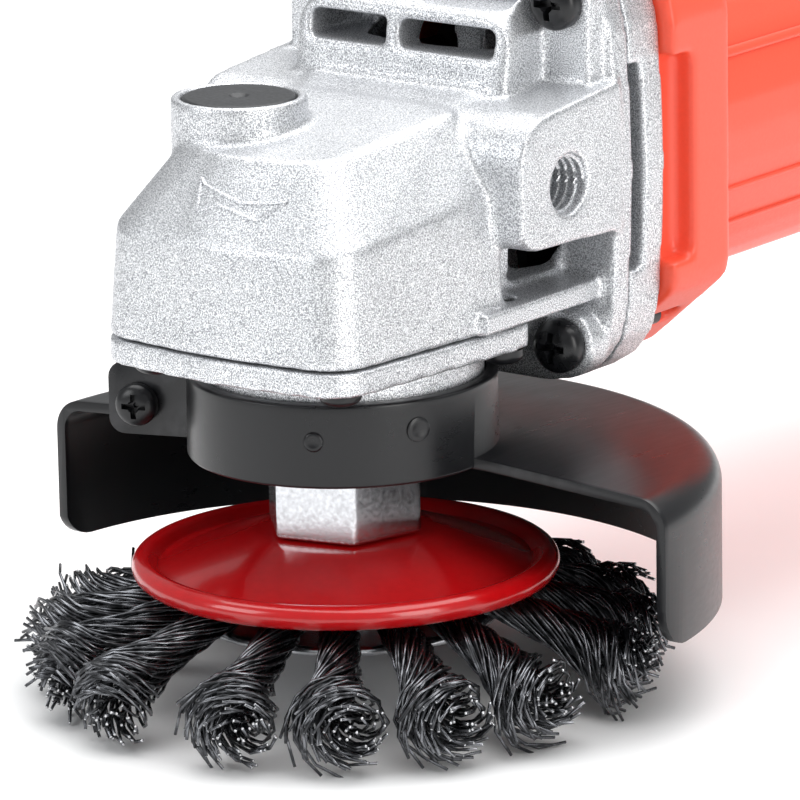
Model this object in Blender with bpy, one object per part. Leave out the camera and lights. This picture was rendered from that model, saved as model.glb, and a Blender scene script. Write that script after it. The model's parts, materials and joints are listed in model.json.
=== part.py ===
"""Angle grinder, 100 mm class, with a bevelled knot brush.

Frame: the origin is the centre of the spindle's end face, +Z points up the
spindle, +Y points along the motor towards the tail.  All sizes are in metres.
"""
import math

import bmesh
import bpy
from mathutils import Matrix, Vector

mm = 0.001
GAP = 0.3 * mm                    # left between touching pieces

# Spindle, brush and guard, heights above the spindle's end face
BRUSH_R = 51.5 * mm
KNOT_COUNT = 16
KNOT_START_DEG = 12.0
DISC_R = 33.0 * mm
DISC_T = 1.5 * mm
DISC_FLAT_R = 14.0 * mm           # where the upper disc starts to fall away
DISC_SLOPE = 5.0 / 14.0
LOWER_DISC_R = 23.5 * mm
KNOT_TIP_T = 7.0 * mm             # half the height of a knot at its tips
THREAD_R = 4.85 * mm
HUB_NUT_AF = 22.0 * mm
HUB_NUT_TOP = 15.0 * mm
HUB_NUT_BOTTOM = 2.3 * mm
HUB_NUT_CORNER_DEG = 13.4
HUB_SHANK_R = 9.0 * mm
HUB_END = -13.6 * mm              # lowest point of the hub's riveted end
GUARD_R = 57.3 * mm
GUARD_T = 1.6 * mm
GUARD_PLATE_Z = 16.0 * mm         # top of the guard's plate at the band
GUARD_PLATE_DROP = 2.0 * mm
GUARD_SHOULDER_R = 5.0 * mm
GUARD_BOTTOM_Z = -9.0 * mm
GUARD_START_DEG = 3.0
GUARD_END_DEG = 179.5
GUARD_CHAMFER = 4.0 * mm
BAND_R = 23.7 * mm
BAND_T = 1.8 * mm
BAND_TOP = 27.2 * mm
EAR_DEG = 200.0
EAR_R = 36.3 * mm
EAR_T = 2.0 * mm
EAR_GAP = 3.0 * mm
CLAMP_SCREW_R = 2.0 * mm
CLAMP_HEAD_R = 3.3 * mm
CLAMP_SCREW_AT = 31.5 * mm        # distance of the clamp screw from the spindle axis

# Gear head
HEAD_FRONT_Y = -30.0 * mm
HEAD_FRONT_W = 46.0 * mm
HEAD_SIDE_END_Y = 8.0 * mm
HEAD_REAR_W = 53.0 * mm
HEAD_CORNER_R = 7.0 * mm
HEAD_BULGE = 2.2 * mm             # how far the front wall bows forward
COVER_BOTTOM = 31.3 * mm
SEAM_Z = 35.3 * mm
RIDGE_Z = 51.6 * mm               # at the nose; the ridge rises towards the motor
RIDGE_RISE = 4.7 * mm
ROOF_FRONT_Y = -20.3 * mm
ROOF_FRONT_HALF_W = 14.2 * mm
ROOF_REAR_HALF_W = 17.6 * mm
TOP_FRONT_Z = 63.6 * mm
TOP_REAR_Z = 68.5 * mm
REAR_WALL_Y = 15.0 * mm
WALL = 2.8 * mm
LEDGE_T = 3.4 * mm                # flange under the side pockets, where the rear cover screws go
COVER_END_Y = REAR_WALL_Y - 1.0 * mm
COVER_SCREW_LENGTH = 7.0 * mm
COVER_SCREWS = (                  # (half spacing, y) of the front and rear pairs
    (HEAD_FRONT_W / 2 - 5.5 * mm, HEAD_FRONT_Y + 7.0 * mm),
    (HEAD_REAR_W / 2 - 4.0 * mm, HEAD_SIDE_END_Y + 2.5 * mm),
)
MOTOR_Z = 55.0 * mm               # height of the motor's axis
FLANGE_HALF_W = 31.2 * mm
FLANGE_HALF_H = 34.0 * mm
FLANGE_CORNER_R = 13.0 * mm
FLANGE_BOW = 2.4 * mm
FLANGE_FRONT_Y = 29.0 * mm
FLANGE_T = 4.2 * mm
VENT_START = 5.0 * mm             # from the roof up to the first row of vents
VENT_H = 4.3 * mm
VENT_PITCH = 6.8 * mm
VENT_SPANS = ((-17.2 * mm, -2.8 * mm), (-0.4 * mm, 17.4 * mm))
HEAD_SCREW_X = 23.2 * mm
HEAD_SCREW_DZ = 26.5 * mm
HEAD_SCREW_HEAD_R = 4.2 * mm
COLUMN_H = 4.0 * mm               # how far each screw's column stands in front of the flange
HANDLE_Y = 16.5 * mm
HANDLE_Z = 56.0 * mm
HANDLE_FACE_X = 31.0 * mm
HANDLE_HOLE_R = 4.6 * mm
HANDLE_HOLE_DEPTH = 13.0 * mm
BOSS_X = -10.0 * mm
BOSS_Y = -10.8 * mm
BOSS_R = 10.3 * mm
BOSS_TOP = 69.9 * mm
BOSS_FLOOR = 57.5 * mm
BUTTON_R = 8.5 * mm
LOCK_PIN_R = 2.0 * mm
LOCK_PIN_AT = 12.0 * mm           # distance of the lock pin from the spindle axis
LOCK_PIN_END = 46.3 * mm
LOCK_SPRING_WIRE_R = 0.35 * mm
LOCK_SPRING_TURNS = 5

# Gears: a face gear on the spindle, a straight pinion on the armature
GEAR_TEETH = 30
PINION_TEETH = 10
GEAR_FACE_IN = 15.5 * mm
GEAR_FACE_OUT = 21.5 * mm
GEAR_BOTTOM = 40.5 * mm
GEAR_WEB_TOP = 45.0 * mm
CHAMBER_R = 23.0 * mm
CHAMBER_TOP = 51.0 * mm

# Bearings: outer radius, inner radius, width
SHAFT_R = 4.0 * mm                # the armature's shaft
LOWER_BEARING = (16.0 * mm, 6.3 * mm, 10.0 * mm)
UPPER_BEARING = (7.0 * mm, 4.3 * mm, 6.0 * mm)
FRONT_BEARING = (11.0 * mm, SHAFT_R + GAP, 7.0 * mm)
REAR_BEARING = (9.5 * mm, SHAFT_R + GAP, 6.0 * mm)
LOWER_BEARING_Z = 20.3 * mm
UPPER_BEARING_Z = 52.3 * mm
SHOULDER_R = 9.4 * mm
NECK_BOTTOM = 16.6 * mm

# Motor, along +Y
MID_FLANGE_T = 8.2 * mm
SIDE_SLOT_HALF = 16.0 * mm        # half the height of the air slot and of the collar's notch
SIDE_SLOT_W = 3.0 * mm
NOTCH_W = 5.6 * mm
COLLAR_LENGTH = 17.0 * mm
COLLAR_HALF_W = 32.0 * mm
COLLAR_HALF_H = 33.5 * mm
BARREL_R = 29.2 * mm
SPIGOT_LENGTH = 14.0 * mm         # the barrel's end that the rear cover slides over
COVER_SCREW_R = 1.7 * mm
COVER_SCREW_SINK = 1.5 * mm
BARREL_WALL = 2.7 * mm
BORE_R = BARREL_R - BARREL_WALL
STATOR_R = BORE_R - GAP
ROTOR_R = 16.0 * mm
POLE_R = ROTOR_R + 2 * GAP
STACK_START_Y = 74.0 * mm
STACK_LENGTH = 40.0 * mm
COMMUTATOR_R = 11.0 * mm
WINDING_ROOM = 10.0 * mm          # from the stack to the commutator
COMMUTATOR_Y = STACK_START_Y + STACK_LENGTH + WINDING_ROOM
COMMUTATOR_LENGTH = 14.0 * mm
WEB_ROOM = 8.0 * mm               # from the commutator to the web
REAR_WEB_Y = COMMUTATOR_Y + COMMUTATOR_LENGTH + WEB_ROOM
SHAFT_FRONT_Y = 14.6 * mm
PINION_BORE_R = 4.3 * mm          # the shaft is turned down to this inside the pinion
REAR_WEB_T = 8.0 * mm
BARREL_PAST_WEB = 14.0 * mm
BARREL_END_Y = REAR_WEB_Y + REAR_WEB_T + BARREL_PAST_WEB
FAN_GAP = 2.0 * mm
FAN_R = BORE_R - FAN_GAP
FAN_BLADES = 9
TAIL_LENGTH = 58.0 * mm
TAIL_END_Y = BARREL_END_Y + TAIL_LENGTH
TAIL_END_R = 22.0 * mm
GLAND_R = 7.0 * mm
SLIDER_BEFORE_WEB = 6.0 * mm
SLIDER_Y = REAR_WEB_Y - SLIDER_BEFORE_WEB
SLIDER_LENGTH = 24.0 * mm
SLIDER_W = 11.0 * mm
SLIDER_TRAVEL = 7.0 * mm


# ---------------------------------------------------------------- helpers

def clear_scene():
    for item in list(bpy.data.objects):
        bpy.data.objects.remove(item, do_unlink=True)


def make_material(name, colour, roughness, metallic):
    made = bpy.data.materials.new(name)
    made.use_nodes = True
    shader = made.node_tree.nodes["Principled BSDF"]
    shader.inputs["Base Color"].default_value = (*colour, 1.0)
    shader.inputs["Roughness"].default_value = roughness
    shader.inputs["Metallic"].default_value = metallic
    return made


def add_object(name, mesh, smooth_deg=35.0):
    bm = bmesh.new()
    bm.from_mesh(mesh)
    bmesh.ops.recalc_face_normals(bm, faces=bm.faces)
    bm.to_mesh(mesh)
    bm.free()
    mesh.shade_smooth()
    mesh.set_sharp_from_angle(angle=math.radians(smooth_deg))
    made = bpy.data.objects.new(name, mesh)
    bpy.context.scene.collection.objects.link(made)
    return made


def loft(name, rings, close=False):
    """Skin a list of rings of equal length; the ends are capped unless it closes on itself."""
    bm = bmesh.new()
    layers = [[bm.verts.new(point) for point in ring] for ring in rings]
    pairs = list(zip(layers, layers[1:]))
    if close:
        pairs.append((layers[-1], layers[0]))
    for low, high in pairs:
        for index, vert in enumerate(low):
            after = (index + 1) % len(low)
            bm.faces.new((vert, low[after], high[after], high[index]))
    if not close:
        bm.faces.new(list(reversed(layers[0])))
        bm.faces.new(layers[-1])
    mesh = bpy.data.meshes.new(name)
    bm.to_mesh(mesh)
    bm.free()
    return add_object(name, mesh)


def place(outline, height, axis):
    """Put a flat outline at a height along an axis: Z takes (x, y), Y takes (x, z), X takes (y, z)."""
    if axis == "Z":
        return [(a, b, height) for a, b in outline]
    if axis == "Y":
        return [(a, height, b) for a, b in outline]
    return [(height, a, b) for a, b in outline]


def prism(name, outline, start, end, axis="Z"):
    return loft(name, [place(outline, start, axis), place(outline, end, axis)])


def circle(radius, steps=32, centre=(0.0, 0.0), turn=0.0):
    angles = [2 * math.pi * step / steps + turn for step in range(steps)]
    return [(centre[0] + radius * math.cos(a), centre[1] + radius * math.sin(a)) for a in angles]


def rod(name, radius, start, end, axis="Z", centre=(0.0, 0.0), steps=32, turn=0.0):
    return prism(name, circle(radius, steps, centre, turn), start, end, axis)


def rounded(corners, radius, steps=5):
    """Round the corners of a convex outline with arcs of one radius or of one radius each."""
    radii = radius if isinstance(radius, (list, tuple)) else [radius] * len(corners)
    outline = []
    for index, corner in enumerate(corners):
        here = Vector(corner)
        back = (Vector(corners[index - 1]) - here).normalized()
        ahead = (Vector(corners[(index + 1) % len(corners)]) - here).normalized()
        half = math.acos(max(-1.0, min(1.0, back.dot(ahead)))) / 2
        centre = here + (back + ahead).normalized() * radii[index] / math.sin(half)
        start = here + back * radii[index] / math.tan(half) - centre
        end = here + ahead * radii[index] / math.tan(half) - centre
        sweep = start.angle_signed(end)
        for step in range(steps + 1):
            turn = Matrix.Rotation(-sweep * step / steps, 2)
            outline.append(tuple(centre + turn @ start))
    return outline


def rounded_rect(half_w, half_h, radius, centre=(0.0, 0.0), steps=5):
    x, y = centre
    corners = [(x - half_w, y - half_h), (x + half_w, y - half_h),
               (x + half_w, y + half_h), (x - half_w, y + half_h)]
    return rounded(corners, radius, steps)


def lathe(name, profile, axis="Z", centre=(0.0, 0.0), steps=40, start_deg=0.0, end_deg=360.0):
    """Turn a closed profile of (radius, height) points, all off the axis, about an axis."""
    full = end_deg - start_deg >= 360.0
    count = steps if full else steps + 1
    rings = []
    for step in range(count):
        angle = math.radians(start_deg + (end_deg - start_deg) * step / steps)
        ring = []
        for radius, height in profile:
            flat = (centre[0] + radius * math.cos(angle), centre[1] + radius * math.sin(angle))
            ring.append(place([flat], height, axis)[0])
        rings.append(ring)
    return loft(name, rings, close=full)


def stack(name, sections, axis="Z", centre=(0.0, 0.0), steps=32):
    """A solid turned piece from (radius, height) pairs, bottom to top."""
    return loft(name, [place(circle(r, steps, centre), h, axis) for r, h in sections])


def box(name, low, high):
    outline = [(low[0], low[1]), (high[0], low[1]), (high[0], high[1]), (low[0], high[1])]
    return prism(name, outline, low[2], high[2])


def combine(base, others, operation):
    """Apply Boolean unions or differences one by one and drop the tools."""
    for other in others:
        modifier = base.modifiers.new("boolean", "BOOLEAN")
        modifier.operation = operation
        modifier.solver = "EXACT"
        modifier.object = other
        graph = bpy.context.evaluated_depsgraph_get()
        shape = bpy.data.meshes.new_from_object(base.evaluated_get(graph))
        base.modifiers.clear()
        base.data = shape
        bpy.data.objects.remove(other, do_unlink=True)
    bm = bmesh.new()
    bm.from_mesh(base.data)
    bmesh.ops.remove_doubles(bm, verts=bm.verts, dist=0.002 * mm)
    bmesh.ops.dissolve_limit(bm, angle_limit=math.radians(0.5), verts=bm.verts, edges=bm.edges)
    bm.to_mesh(base.data)
    bm.free()
    base.data.shade_smooth()
    base.data.set_sharp_from_angle(angle=math.radians(35.0))
    return base


def join(base, *others):
    return combine(base, others, "UNION")


def cut(base, *others):
    return combine(base, others, "DIFFERENCE")


def finish(piece, material):
    piece.data.materials.clear()
    piece.data.materials.append(material)
    return piece


def turn_about(piece, angle, axis="Z"):
    piece.data.transform(Matrix.Rotation(angle, 4, axis))
    return piece


# ---------------------------------------------------------------- gear head

def head_outline(inset=0.0):
    """Plan of the gear head: narrow at the front, wider towards the motor, with a bowed nose."""
    half_f = HEAD_FRONT_W / 2 - inset
    half_r = HEAD_REAR_W / 2 - inset
    front = HEAD_FRONT_Y + inset
    rear = HEAD_SIDE_END_Y
    corners = [(-half_f, front), (0.0, front - HEAD_BULGE), (half_f, front),
               (half_r, rear), (-half_r, rear)]
    return rounded(corners, [HEAD_CORNER_R, 60 * mm, HEAD_CORNER_R, 3 * mm, 3 * mm], 4)


def sloped(outline, y_low, z_low, y_high, z_high):
    """Put a flat outline on a plane that rises towards the motor."""
    rise = (z_high - z_low) / (y_high - y_low)
    return [(x, y, z_low + (y - y_low) * rise) for x, y in outline]


def ridge_ring(drop=0.0):
    """The ridge between the head's walls and its slopes."""
    return sloped(head_outline(1.0 * mm), HEAD_FRONT_Y, RIDGE_Z - drop,
                  HEAD_SIDE_END_Y, RIDGE_Z + RIDGE_RISE - drop)


def roof_ring():
    """The head's top face, from behind the front slope back to the raised wall."""
    corners = [(-ROOF_FRONT_HALF_W, ROOF_FRONT_Y), (0.0, ROOF_FRONT_Y - 4.0 * mm),
               (ROOF_FRONT_HALF_W, ROOF_FRONT_Y), (ROOF_REAR_HALF_W, HEAD_SIDE_END_Y),
               (-ROOF_REAR_HALF_W, HEAD_SIDE_END_Y)]
    outline = rounded(corners, [5 * mm, 30 * mm, 5 * mm, 3 * mm, 3 * mm], 4)
    return sloped(outline, ROOF_FRONT_Y - 4.0 * mm, TOP_FRONT_Z, REAR_WALL_Y, TOP_REAR_Z)


def flange_outline():
    """Rounded square with slightly bowed sides."""
    shoulder = FLANGE_HALF_W - FLANGE_BOW
    low = MOTOR_Z - FLANGE_HALF_H
    high = MOTOR_Z + FLANGE_HALF_H
    corners = [(-shoulder, low), (shoulder, low), (FLANGE_HALF_W, MOTOR_Z), (shoulder, high),
               (-shoulder, high), (-FLANGE_HALF_W, MOTOR_Z)]
    corner_r = FLANGE_CORNER_R
    return rounded(corners, [corner_r, corner_r, 150 * mm, corner_r, corner_r, 150 * mm], 4)


def gear_housing(cast):
    lower = loft("gear_housing", [place(head_outline(), SEAM_Z, "Z"), ridge_ring()])
    roof = loft("roof", [ridge_ring(0.5 * mm), ridge_ring(), roof_ring()])
    back = [
        (HEAD_SIDE_END_Y - 10 * mm, 16.5 * mm, SEAM_Z, TOP_REAR_Z - 3.6 * mm, 5 * mm),
        (REAR_WALL_Y - 0.5 * mm, 19.5 * mm, SEAM_Z, TOP_REAR_Z + 0.2 * mm, 5 * mm),
        (REAR_WALL_Y + 1.5 * mm, 20.0 * mm, SEAM_Z - 4 * mm, TOP_REAR_Z + 11 * mm, 5 * mm),
        (FLANGE_FRONT_Y + mm, 20.5 * mm, SEAM_Z - 9 * mm, TOP_REAR_Z + 18.5 * mm, 6 * mm),
    ]
    rings = []
    for y, half_w, low, high, radius in back:
        outline = rounded_rect(half_w, (high - low) / 2, radius, (0.0, (high + low) / 2))
        rings.append(place(outline, y, "Y"))
    rear = loft("rear", rings)
    flange_end = FLANGE_FRONT_Y + FLANGE_T
    flange = prism("flange", flange_outline(), FLANGE_FRONT_Y, flange_end, "Y")
    adds = [roof, rear, flange]
    for side in (-1, 1):
        pad = rounded([(HANDLE_Y - 12.2 * mm, HANDLE_Z - 8.6 * mm),
                       (FLANGE_FRONT_Y + mm, HANDLE_Z - 9.6 * mm),
                       (FLANGE_FRONT_Y + mm, HANDLE_Z + 13.5 * mm),
                       (HANDLE_Y - 12.2 * mm, HANDLE_Z + 10.8 * mm)], [4 * mm, 0.5 * mm, 0.5 * mm, 7 * mm])
        pad_ends = sorted((side * 15.0 * mm, side * HANDLE_FACE_X))
        adds.append(prism("pad", pad, pad_ends[0], pad_ends[1], "X"))
        ledge_ends = sorted((side * 15.0 * mm, side * 27.5 * mm))
        ledge = [(0.0, SEAM_Z), (FLANGE_FRONT_Y + mm, SEAM_Z),
                 (FLANGE_FRONT_Y + mm, SEAM_Z + LEDGE_T), (0.0, SEAM_Z + LEDGE_T)]
        adds.append(prism("ledge", ledge, ledge_ends[0], ledge_ends[1], "X"))
        for up in (-1, 1):
            spot = (side * HEAD_SCREW_X, MOTOR_Z + up * HEAD_SCREW_DZ)
            adds.append(rod("column", HEAD_SCREW_HEAD_R + 1.2 * mm, FLANGE_FRONT_Y - COLUMN_H,
                            FLANGE_FRONT_Y + mm, "Y", spot, 20))
        post_ends = sorted((side * 19.0 * mm, side * (HEAD_SCREW_X + HEAD_SCREW_HEAD_R + 1.0 * mm)))
        adds.append(box("post", (post_ends[0], FLANGE_FRONT_Y - COLUMN_H, HANDLE_Z + 11.0 * mm),
                        (post_ends[1], FLANGE_FRONT_Y + mm, MOTOR_Z + HEAD_SCREW_DZ)))
    adds.append(rod("boss", BOSS_R, RIDGE_Z + 4 * mm, BOSS_TOP, "Z", (BOSS_X, BOSS_Y), 40))
    head = join(lower, *adds)

    cuts = [rod("chamber", CHAMBER_R, SEAM_Z - 6 * mm, CHAMBER_TOP, "Z", steps=40),
            rod("button_bore", BUTTON_R + GAP, BOSS_FLOOR, BOSS_TOP + mm, "Z", (BOSS_X, BOSS_Y), 32),
            rod("pin_bore", LOCK_PIN_R + GAP, CHAMBER_TOP - mm, BOSS_FLOOR + mm, "Z", lock_pin_place(), 16),
            rod("upper_seat", UPPER_BEARING[0] + GAP, CHAMBER_TOP - mm,
                UPPER_BEARING_Z + UPPER_BEARING[2] + GAP, "Z"),
            rod("spindle_room", SHAFT_R + 1.5 * mm, CHAMBER_TOP, CHAMBER_TOP + 10 * mm, "Z"),
            rod("pinion_room", 9.0 * mm, SHAFT_FRONT_Y - 1.2 * mm, FLANGE_FRONT_Y, "Y", (0.0, MOTOR_Z)),
            stack("air_room", [(16.0 * mm, HANDLE_Y + 3.5 * mm), (21.5 * mm, HANDLE_Y + 6.5 * mm),
                               (25.0 * mm, flange_end + mm)], "Y", (0.0, MOTOR_Z), 36)]
    for row in range(2):
        z = TOP_REAR_Z + VENT_START + VENT_PITCH * row
        for low, high in VENT_SPANS:
            slot = box("vent", (low, REAR_WALL_Y - 3 * mm, z), (high, FLANGE_FRONT_Y + 0.5 * mm, z + VENT_H))
            cuts.append(slot)
    for side in (-1, 1):
        port_ends = sorted((side * 15.0 * mm, side * 26.0 * mm))
        cuts.append(box("side_port", (port_ends[0], HANDLE_Y - 0.5 * mm, SEAM_Z + LEDGE_T + 1.0 * mm),
                        (port_ends[1], FLANGE_FRONT_Y - 0.8 * mm, HANDLE_Z - 10.8 * mm)))
        hole_ends = sorted((side * (HANDLE_FACE_X - HANDLE_HOLE_DEPTH), side * (HANDLE_FACE_X + mm)))
        cuts.append(rod("handle_hole", HANDLE_HOLE_R, hole_ends[0], hole_ends[1], "X",
                        (HANDLE_Y, HANDLE_Z), 24))
        for up in (-1, 1):
            spot = (side * HEAD_SCREW_X, MOTOR_Z + up * HEAD_SCREW_DZ)
            cuts.append(rod("screw_hole", 2.3 * mm, FLANGE_FRONT_Y - 8 * mm, flange_end + mm, "Y", spot, 16))
            cuts.append(rod("screw_recess", HEAD_SCREW_HEAD_R + 1.1 * mm, 0.0, FLANGE_FRONT_Y - COLUMN_H,
                            "Y", spot, 24))
        for x, y in COVER_SCREWS:
            cuts.append(rod("cover_hole", 1.9 * mm, SEAM_Z - 2 * mm, SEAM_Z + COVER_SCREW_LENGTH,
                            "Z", (side * x, y), 12))
    return finish(cut(head, *cuts), cast)


def lock_pin_place():
    """The lock pin stands on the line from the spindle's axis to the button's centre."""
    reach = math.hypot(BOSS_X, BOSS_Y)
    return (BOSS_X * LOCK_PIN_AT / reach, BOSS_Y * LOCK_PIN_AT / reach)


def bearing_cover(cast):
    rear = COVER_END_Y
    corners = [(-HEAD_FRONT_W / 2, HEAD_FRONT_Y), (0.0, HEAD_FRONT_Y - HEAD_BULGE),
               (HEAD_FRONT_W / 2, HEAD_FRONT_Y), (HEAD_REAR_W / 2, HEAD_SIDE_END_Y),
               (HEAD_REAR_W / 2 - 0.5 * mm, rear), (-HEAD_REAR_W / 2 + 0.5 * mm, rear),
               (-HEAD_REAR_W / 2, HEAD_SIDE_END_Y)]
    radii = [HEAD_CORNER_R, 60 * mm, HEAD_CORNER_R, 20 * mm, 3 * mm, 3 * mm, 20 * mm]
    outline = rounded(corners, radii, 4)
    plate = loft("bearing_cover", [place(outline, COVER_BOTTOM, "Z"),
                                   place(outline, SEAM_Z - GAP, "Z")])
    neck = rod("neck", BAND_R - BAND_T - GAP, NECK_BOTTOM, COVER_BOTTOM + mm, steps=40)
    cover = join(plate, neck)
    cuts = [rod("seat", LOWER_BEARING[0] + GAP, LOWER_BEARING_Z - GAP, SEAM_Z + mm, steps=40),
            rod("lip", SHOULDER_R + 0.6 * mm, NECK_BOTTOM - mm, LOWER_BEARING_Z, steps=32)]
    for x, y in COVER_SCREWS:
        for side in (-1, 1):
            cuts.append(rod("hole", 2.1 * mm, COVER_BOTTOM - mm, SEAM_Z + mm, "Z", (side * x, y), 12))
    return finish(cut(cover, *cuts), cast)


def screw(name, head_r, head_t, shank_r, length, steel, steps=12):
    """A pan-head cross screw along -Z below its head's seat at the origin."""
    piece = stack(name, [(shank_r, -length), (shank_r, 0.05 * mm)], steps=8)
    head = stack("head", [(head_r, 0.0), (head_r, head_t * 0.45), (head_r * 0.7, head_t)], steps=steps)
    arm = head_r * 0.62
    web = head_r * 0.14
    cross = box("cross", (-arm, -web, head_t * 0.45), (arm, web, head_t + mm))
    across = box("across", (-web, -arm, head_t * 0.45), (web, arm, head_t + mm))
    return finish(cut(join(piece, head), cross, across), steel)


def put(piece, at, rotation=None):
    """Move a piece's mesh into place, so that its origin stays the world's."""
    matrix = Matrix.Translation(at)
    if rotation is not None:
        matrix = matrix @ rotation
    piece.data.transform(matrix)
    return piece


# ---------------------------------------------------------------- guard

def guard_profile():
    """Section of the pressed shell: plate, round shoulder and wall, all of one thickness."""
    outer = [(BAND_R - BAND_T / 2, GUARD_PLATE_Z)]
    shoulder_z = GUARD_PLATE_Z - GUARD_PLATE_DROP - GUARD_SHOULDER_R
    centre_r = GUARD_R - GUARD_SHOULDER_R
    steps = 3
    for step in range(steps + 1):
        angle = math.pi / 2 * (1 - step / steps)
        outer.append((centre_r + GUARD_SHOULDER_R * math.cos(angle),
                      shoulder_z + GUARD_SHOULDER_R * math.sin(angle)))
    outer.append((GUARD_R, GUARD_BOTTOM_Z))
    inner = [(GUARD_R - GUARD_T, GUARD_BOTTOM_Z)]
    inside = GUARD_SHOULDER_R - GUARD_T
    for step in range(steps + 1):
        angle = math.pi / 2 * step / steps
        inner.append((centre_r + inside * math.cos(angle), shoulder_z + inside * math.sin(angle)))
    inner.append((BAND_R - BAND_T / 2, GUARD_PLATE_Z - GUARD_T))
    return outer + inner


def guard_shell(black):
    shell = lathe("guard_shell", guard_profile(), steps=30,
                  start_deg=GUARD_START_DEG, end_deg=GUARD_END_DEG)
    band_in = BAND_R - BAND_T
    band = lathe("band", [(band_in, GUARD_PLATE_Z - GUARD_T), (BAND_R, GUARD_PLATE_Z - GUARD_T),
                          (BAND_R, BAND_TOP), (band_in, BAND_TOP)], steps=48)
    half = EAR_GAP / 2 + EAR_T
    outline = rounded([(BAND_R - 1.2 * mm, GUARD_PLATE_Z - 0.5 * mm), (EAR_R, GUARD_PLATE_Z - 0.5 * mm),
                       (EAR_R, BAND_TOP - 0.4 * mm), (BAND_R - 1.2 * mm, BAND_TOP - 0.4 * mm)],
                      [0.4 * mm, 2.5 * mm, 2.5 * mm, 0.4 * mm], 4)
    ears = prism("ears", outline, -half, half, "Y")
    turn_about(ears, math.radians(EAR_DEG))
    guard = join(shell, band, ears)
    split = box("split", (band_in - 2 * mm, -EAR_GAP / 2, GUARD_PLATE_Z - 4 * mm),
                (EAR_R + 2 * mm, EAR_GAP / 2, BAND_TOP + 2 * mm))
    turn_about(split, math.radians(EAR_DEG))
    hole = rod("hole", CLAMP_SCREW_R + GAP, -half - mm, half + mm, "Y", (CLAMP_SCREW_AT, ear_mid_z()), 16)
    turn_about(hole, math.radians(EAR_DEG))
    cuts = [split, hole]
    for side in (-1, 1):
        start = GUARD_START_DEG if side > 0 else GUARD_END_DEG
        edge = math.sin(math.radians(start)) * GUARD_R
        low = edge - 3 * mm
        wedge = [(low, GUARD_BOTTOM_Z - 3 * mm), (edge + GUARD_CHAMFER, GUARD_BOTTOM_Z - 3 * mm),
                 (edge + GUARD_CHAMFER, GUARD_BOTTOM_Z), (edge, GUARD_BOTTOM_Z + GUARD_CHAMFER),
                 (low, GUARD_BOTTOM_Z + GUARD_CHAMFER)]
        ends = sorted((side * (GUARD_R - 8 * mm), side * (GUARD_R + 3 * mm)))
        cuts.append(prism("wedge", wedge, ends[0], ends[1], "X"))
    return finish(cut(guard, *cuts), black)


def ear_mid_z():
    return (GUARD_PLATE_Z + BAND_TOP) / 2 - 1.2 * mm


def clamp_pieces(black, steel):
    """The clamp screw crosses both ears, its head facing the front; the nut sits behind."""
    half = EAR_GAP / 2 + EAR_T
    nut_t = 3.2 * mm
    length = 2 * half + nut_t + 2.0 * mm
    clamp = screw("guard_clamp_screw", CLAMP_HEAD_R, 2.4 * mm, CLAMP_SCREW_R, length, black)
    facing = Matrix.Rotation(math.radians(-90.0), 4, "X")
    put(clamp, (CLAMP_SCREW_AT, half + GAP, ear_mid_z()), facing)
    turn_about(clamp, math.radians(EAR_DEG))
    nut = prism("guard_clamp_nut", circle(7.0 * mm / math.sqrt(3), 6), -half - GAP - nut_t, -half - GAP, "Y")
    bore = rod("bore", CLAMP_SCREW_R + GAP / 2, -half - 2 * GAP - nut_t - mm, -half + mm, "Y", steps=16)
    nut = cut(nut, bore)
    put(nut, (CLAMP_SCREW_AT, 0.0, ear_mid_z()))
    turn_about(nut, math.radians(EAR_DEG))
    finish(nut, steel)


# ---------------------------------------------------------------- spindle and brush

def spindle(steel):
    seat = LOWER_BEARING[1] - GAP
    gear_seat = 7.0 * mm
    top = UPPER_BEARING[1] - GAP
    shoulder_z = HUB_NUT_TOP + 0.4 * mm
    seat_z = LOWER_BEARING_Z - GAP
    gear_z = LOWER_BEARING_Z + LOWER_BEARING[2] + 0.7 * mm
    neck_z = GEAR_WEB_TOP + 1.5 * mm
    sections = [(THREAD_R - 0.6 * mm, 0.0), (THREAD_R, 0.6 * mm), (THREAD_R, shoulder_z),
                (SHOULDER_R, shoulder_z), (SHOULDER_R, seat_z), (seat, seat_z), (seat, gear_z),
                (gear_seat, gear_z), (gear_seat, neck_z), (top, neck_z),
                (top, UPPER_BEARING_Z + UPPER_BEARING[2])]
    return finish(stack("spindle", sections, steps=24), steel)


def bearing(name, size, start, axis, centre, steel):
    outer, inner, width = size
    chamfer = 0.5 * mm
    profile = [(inner, start), (outer - chamfer, start), (outer, start + chamfer),
               (outer, start + width - chamfer), (outer - chamfer, start + width), (inner, start + width)]
    return finish(lathe(name, profile, axis, centre, 20), steel)


def gear_sizes():
    mean = (GEAR_FACE_IN + GEAR_FACE_OUT) / 2
    module = 2 * mean / GEAR_TEETH
    return mean, module, module * PINION_TEETH / 2


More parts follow.
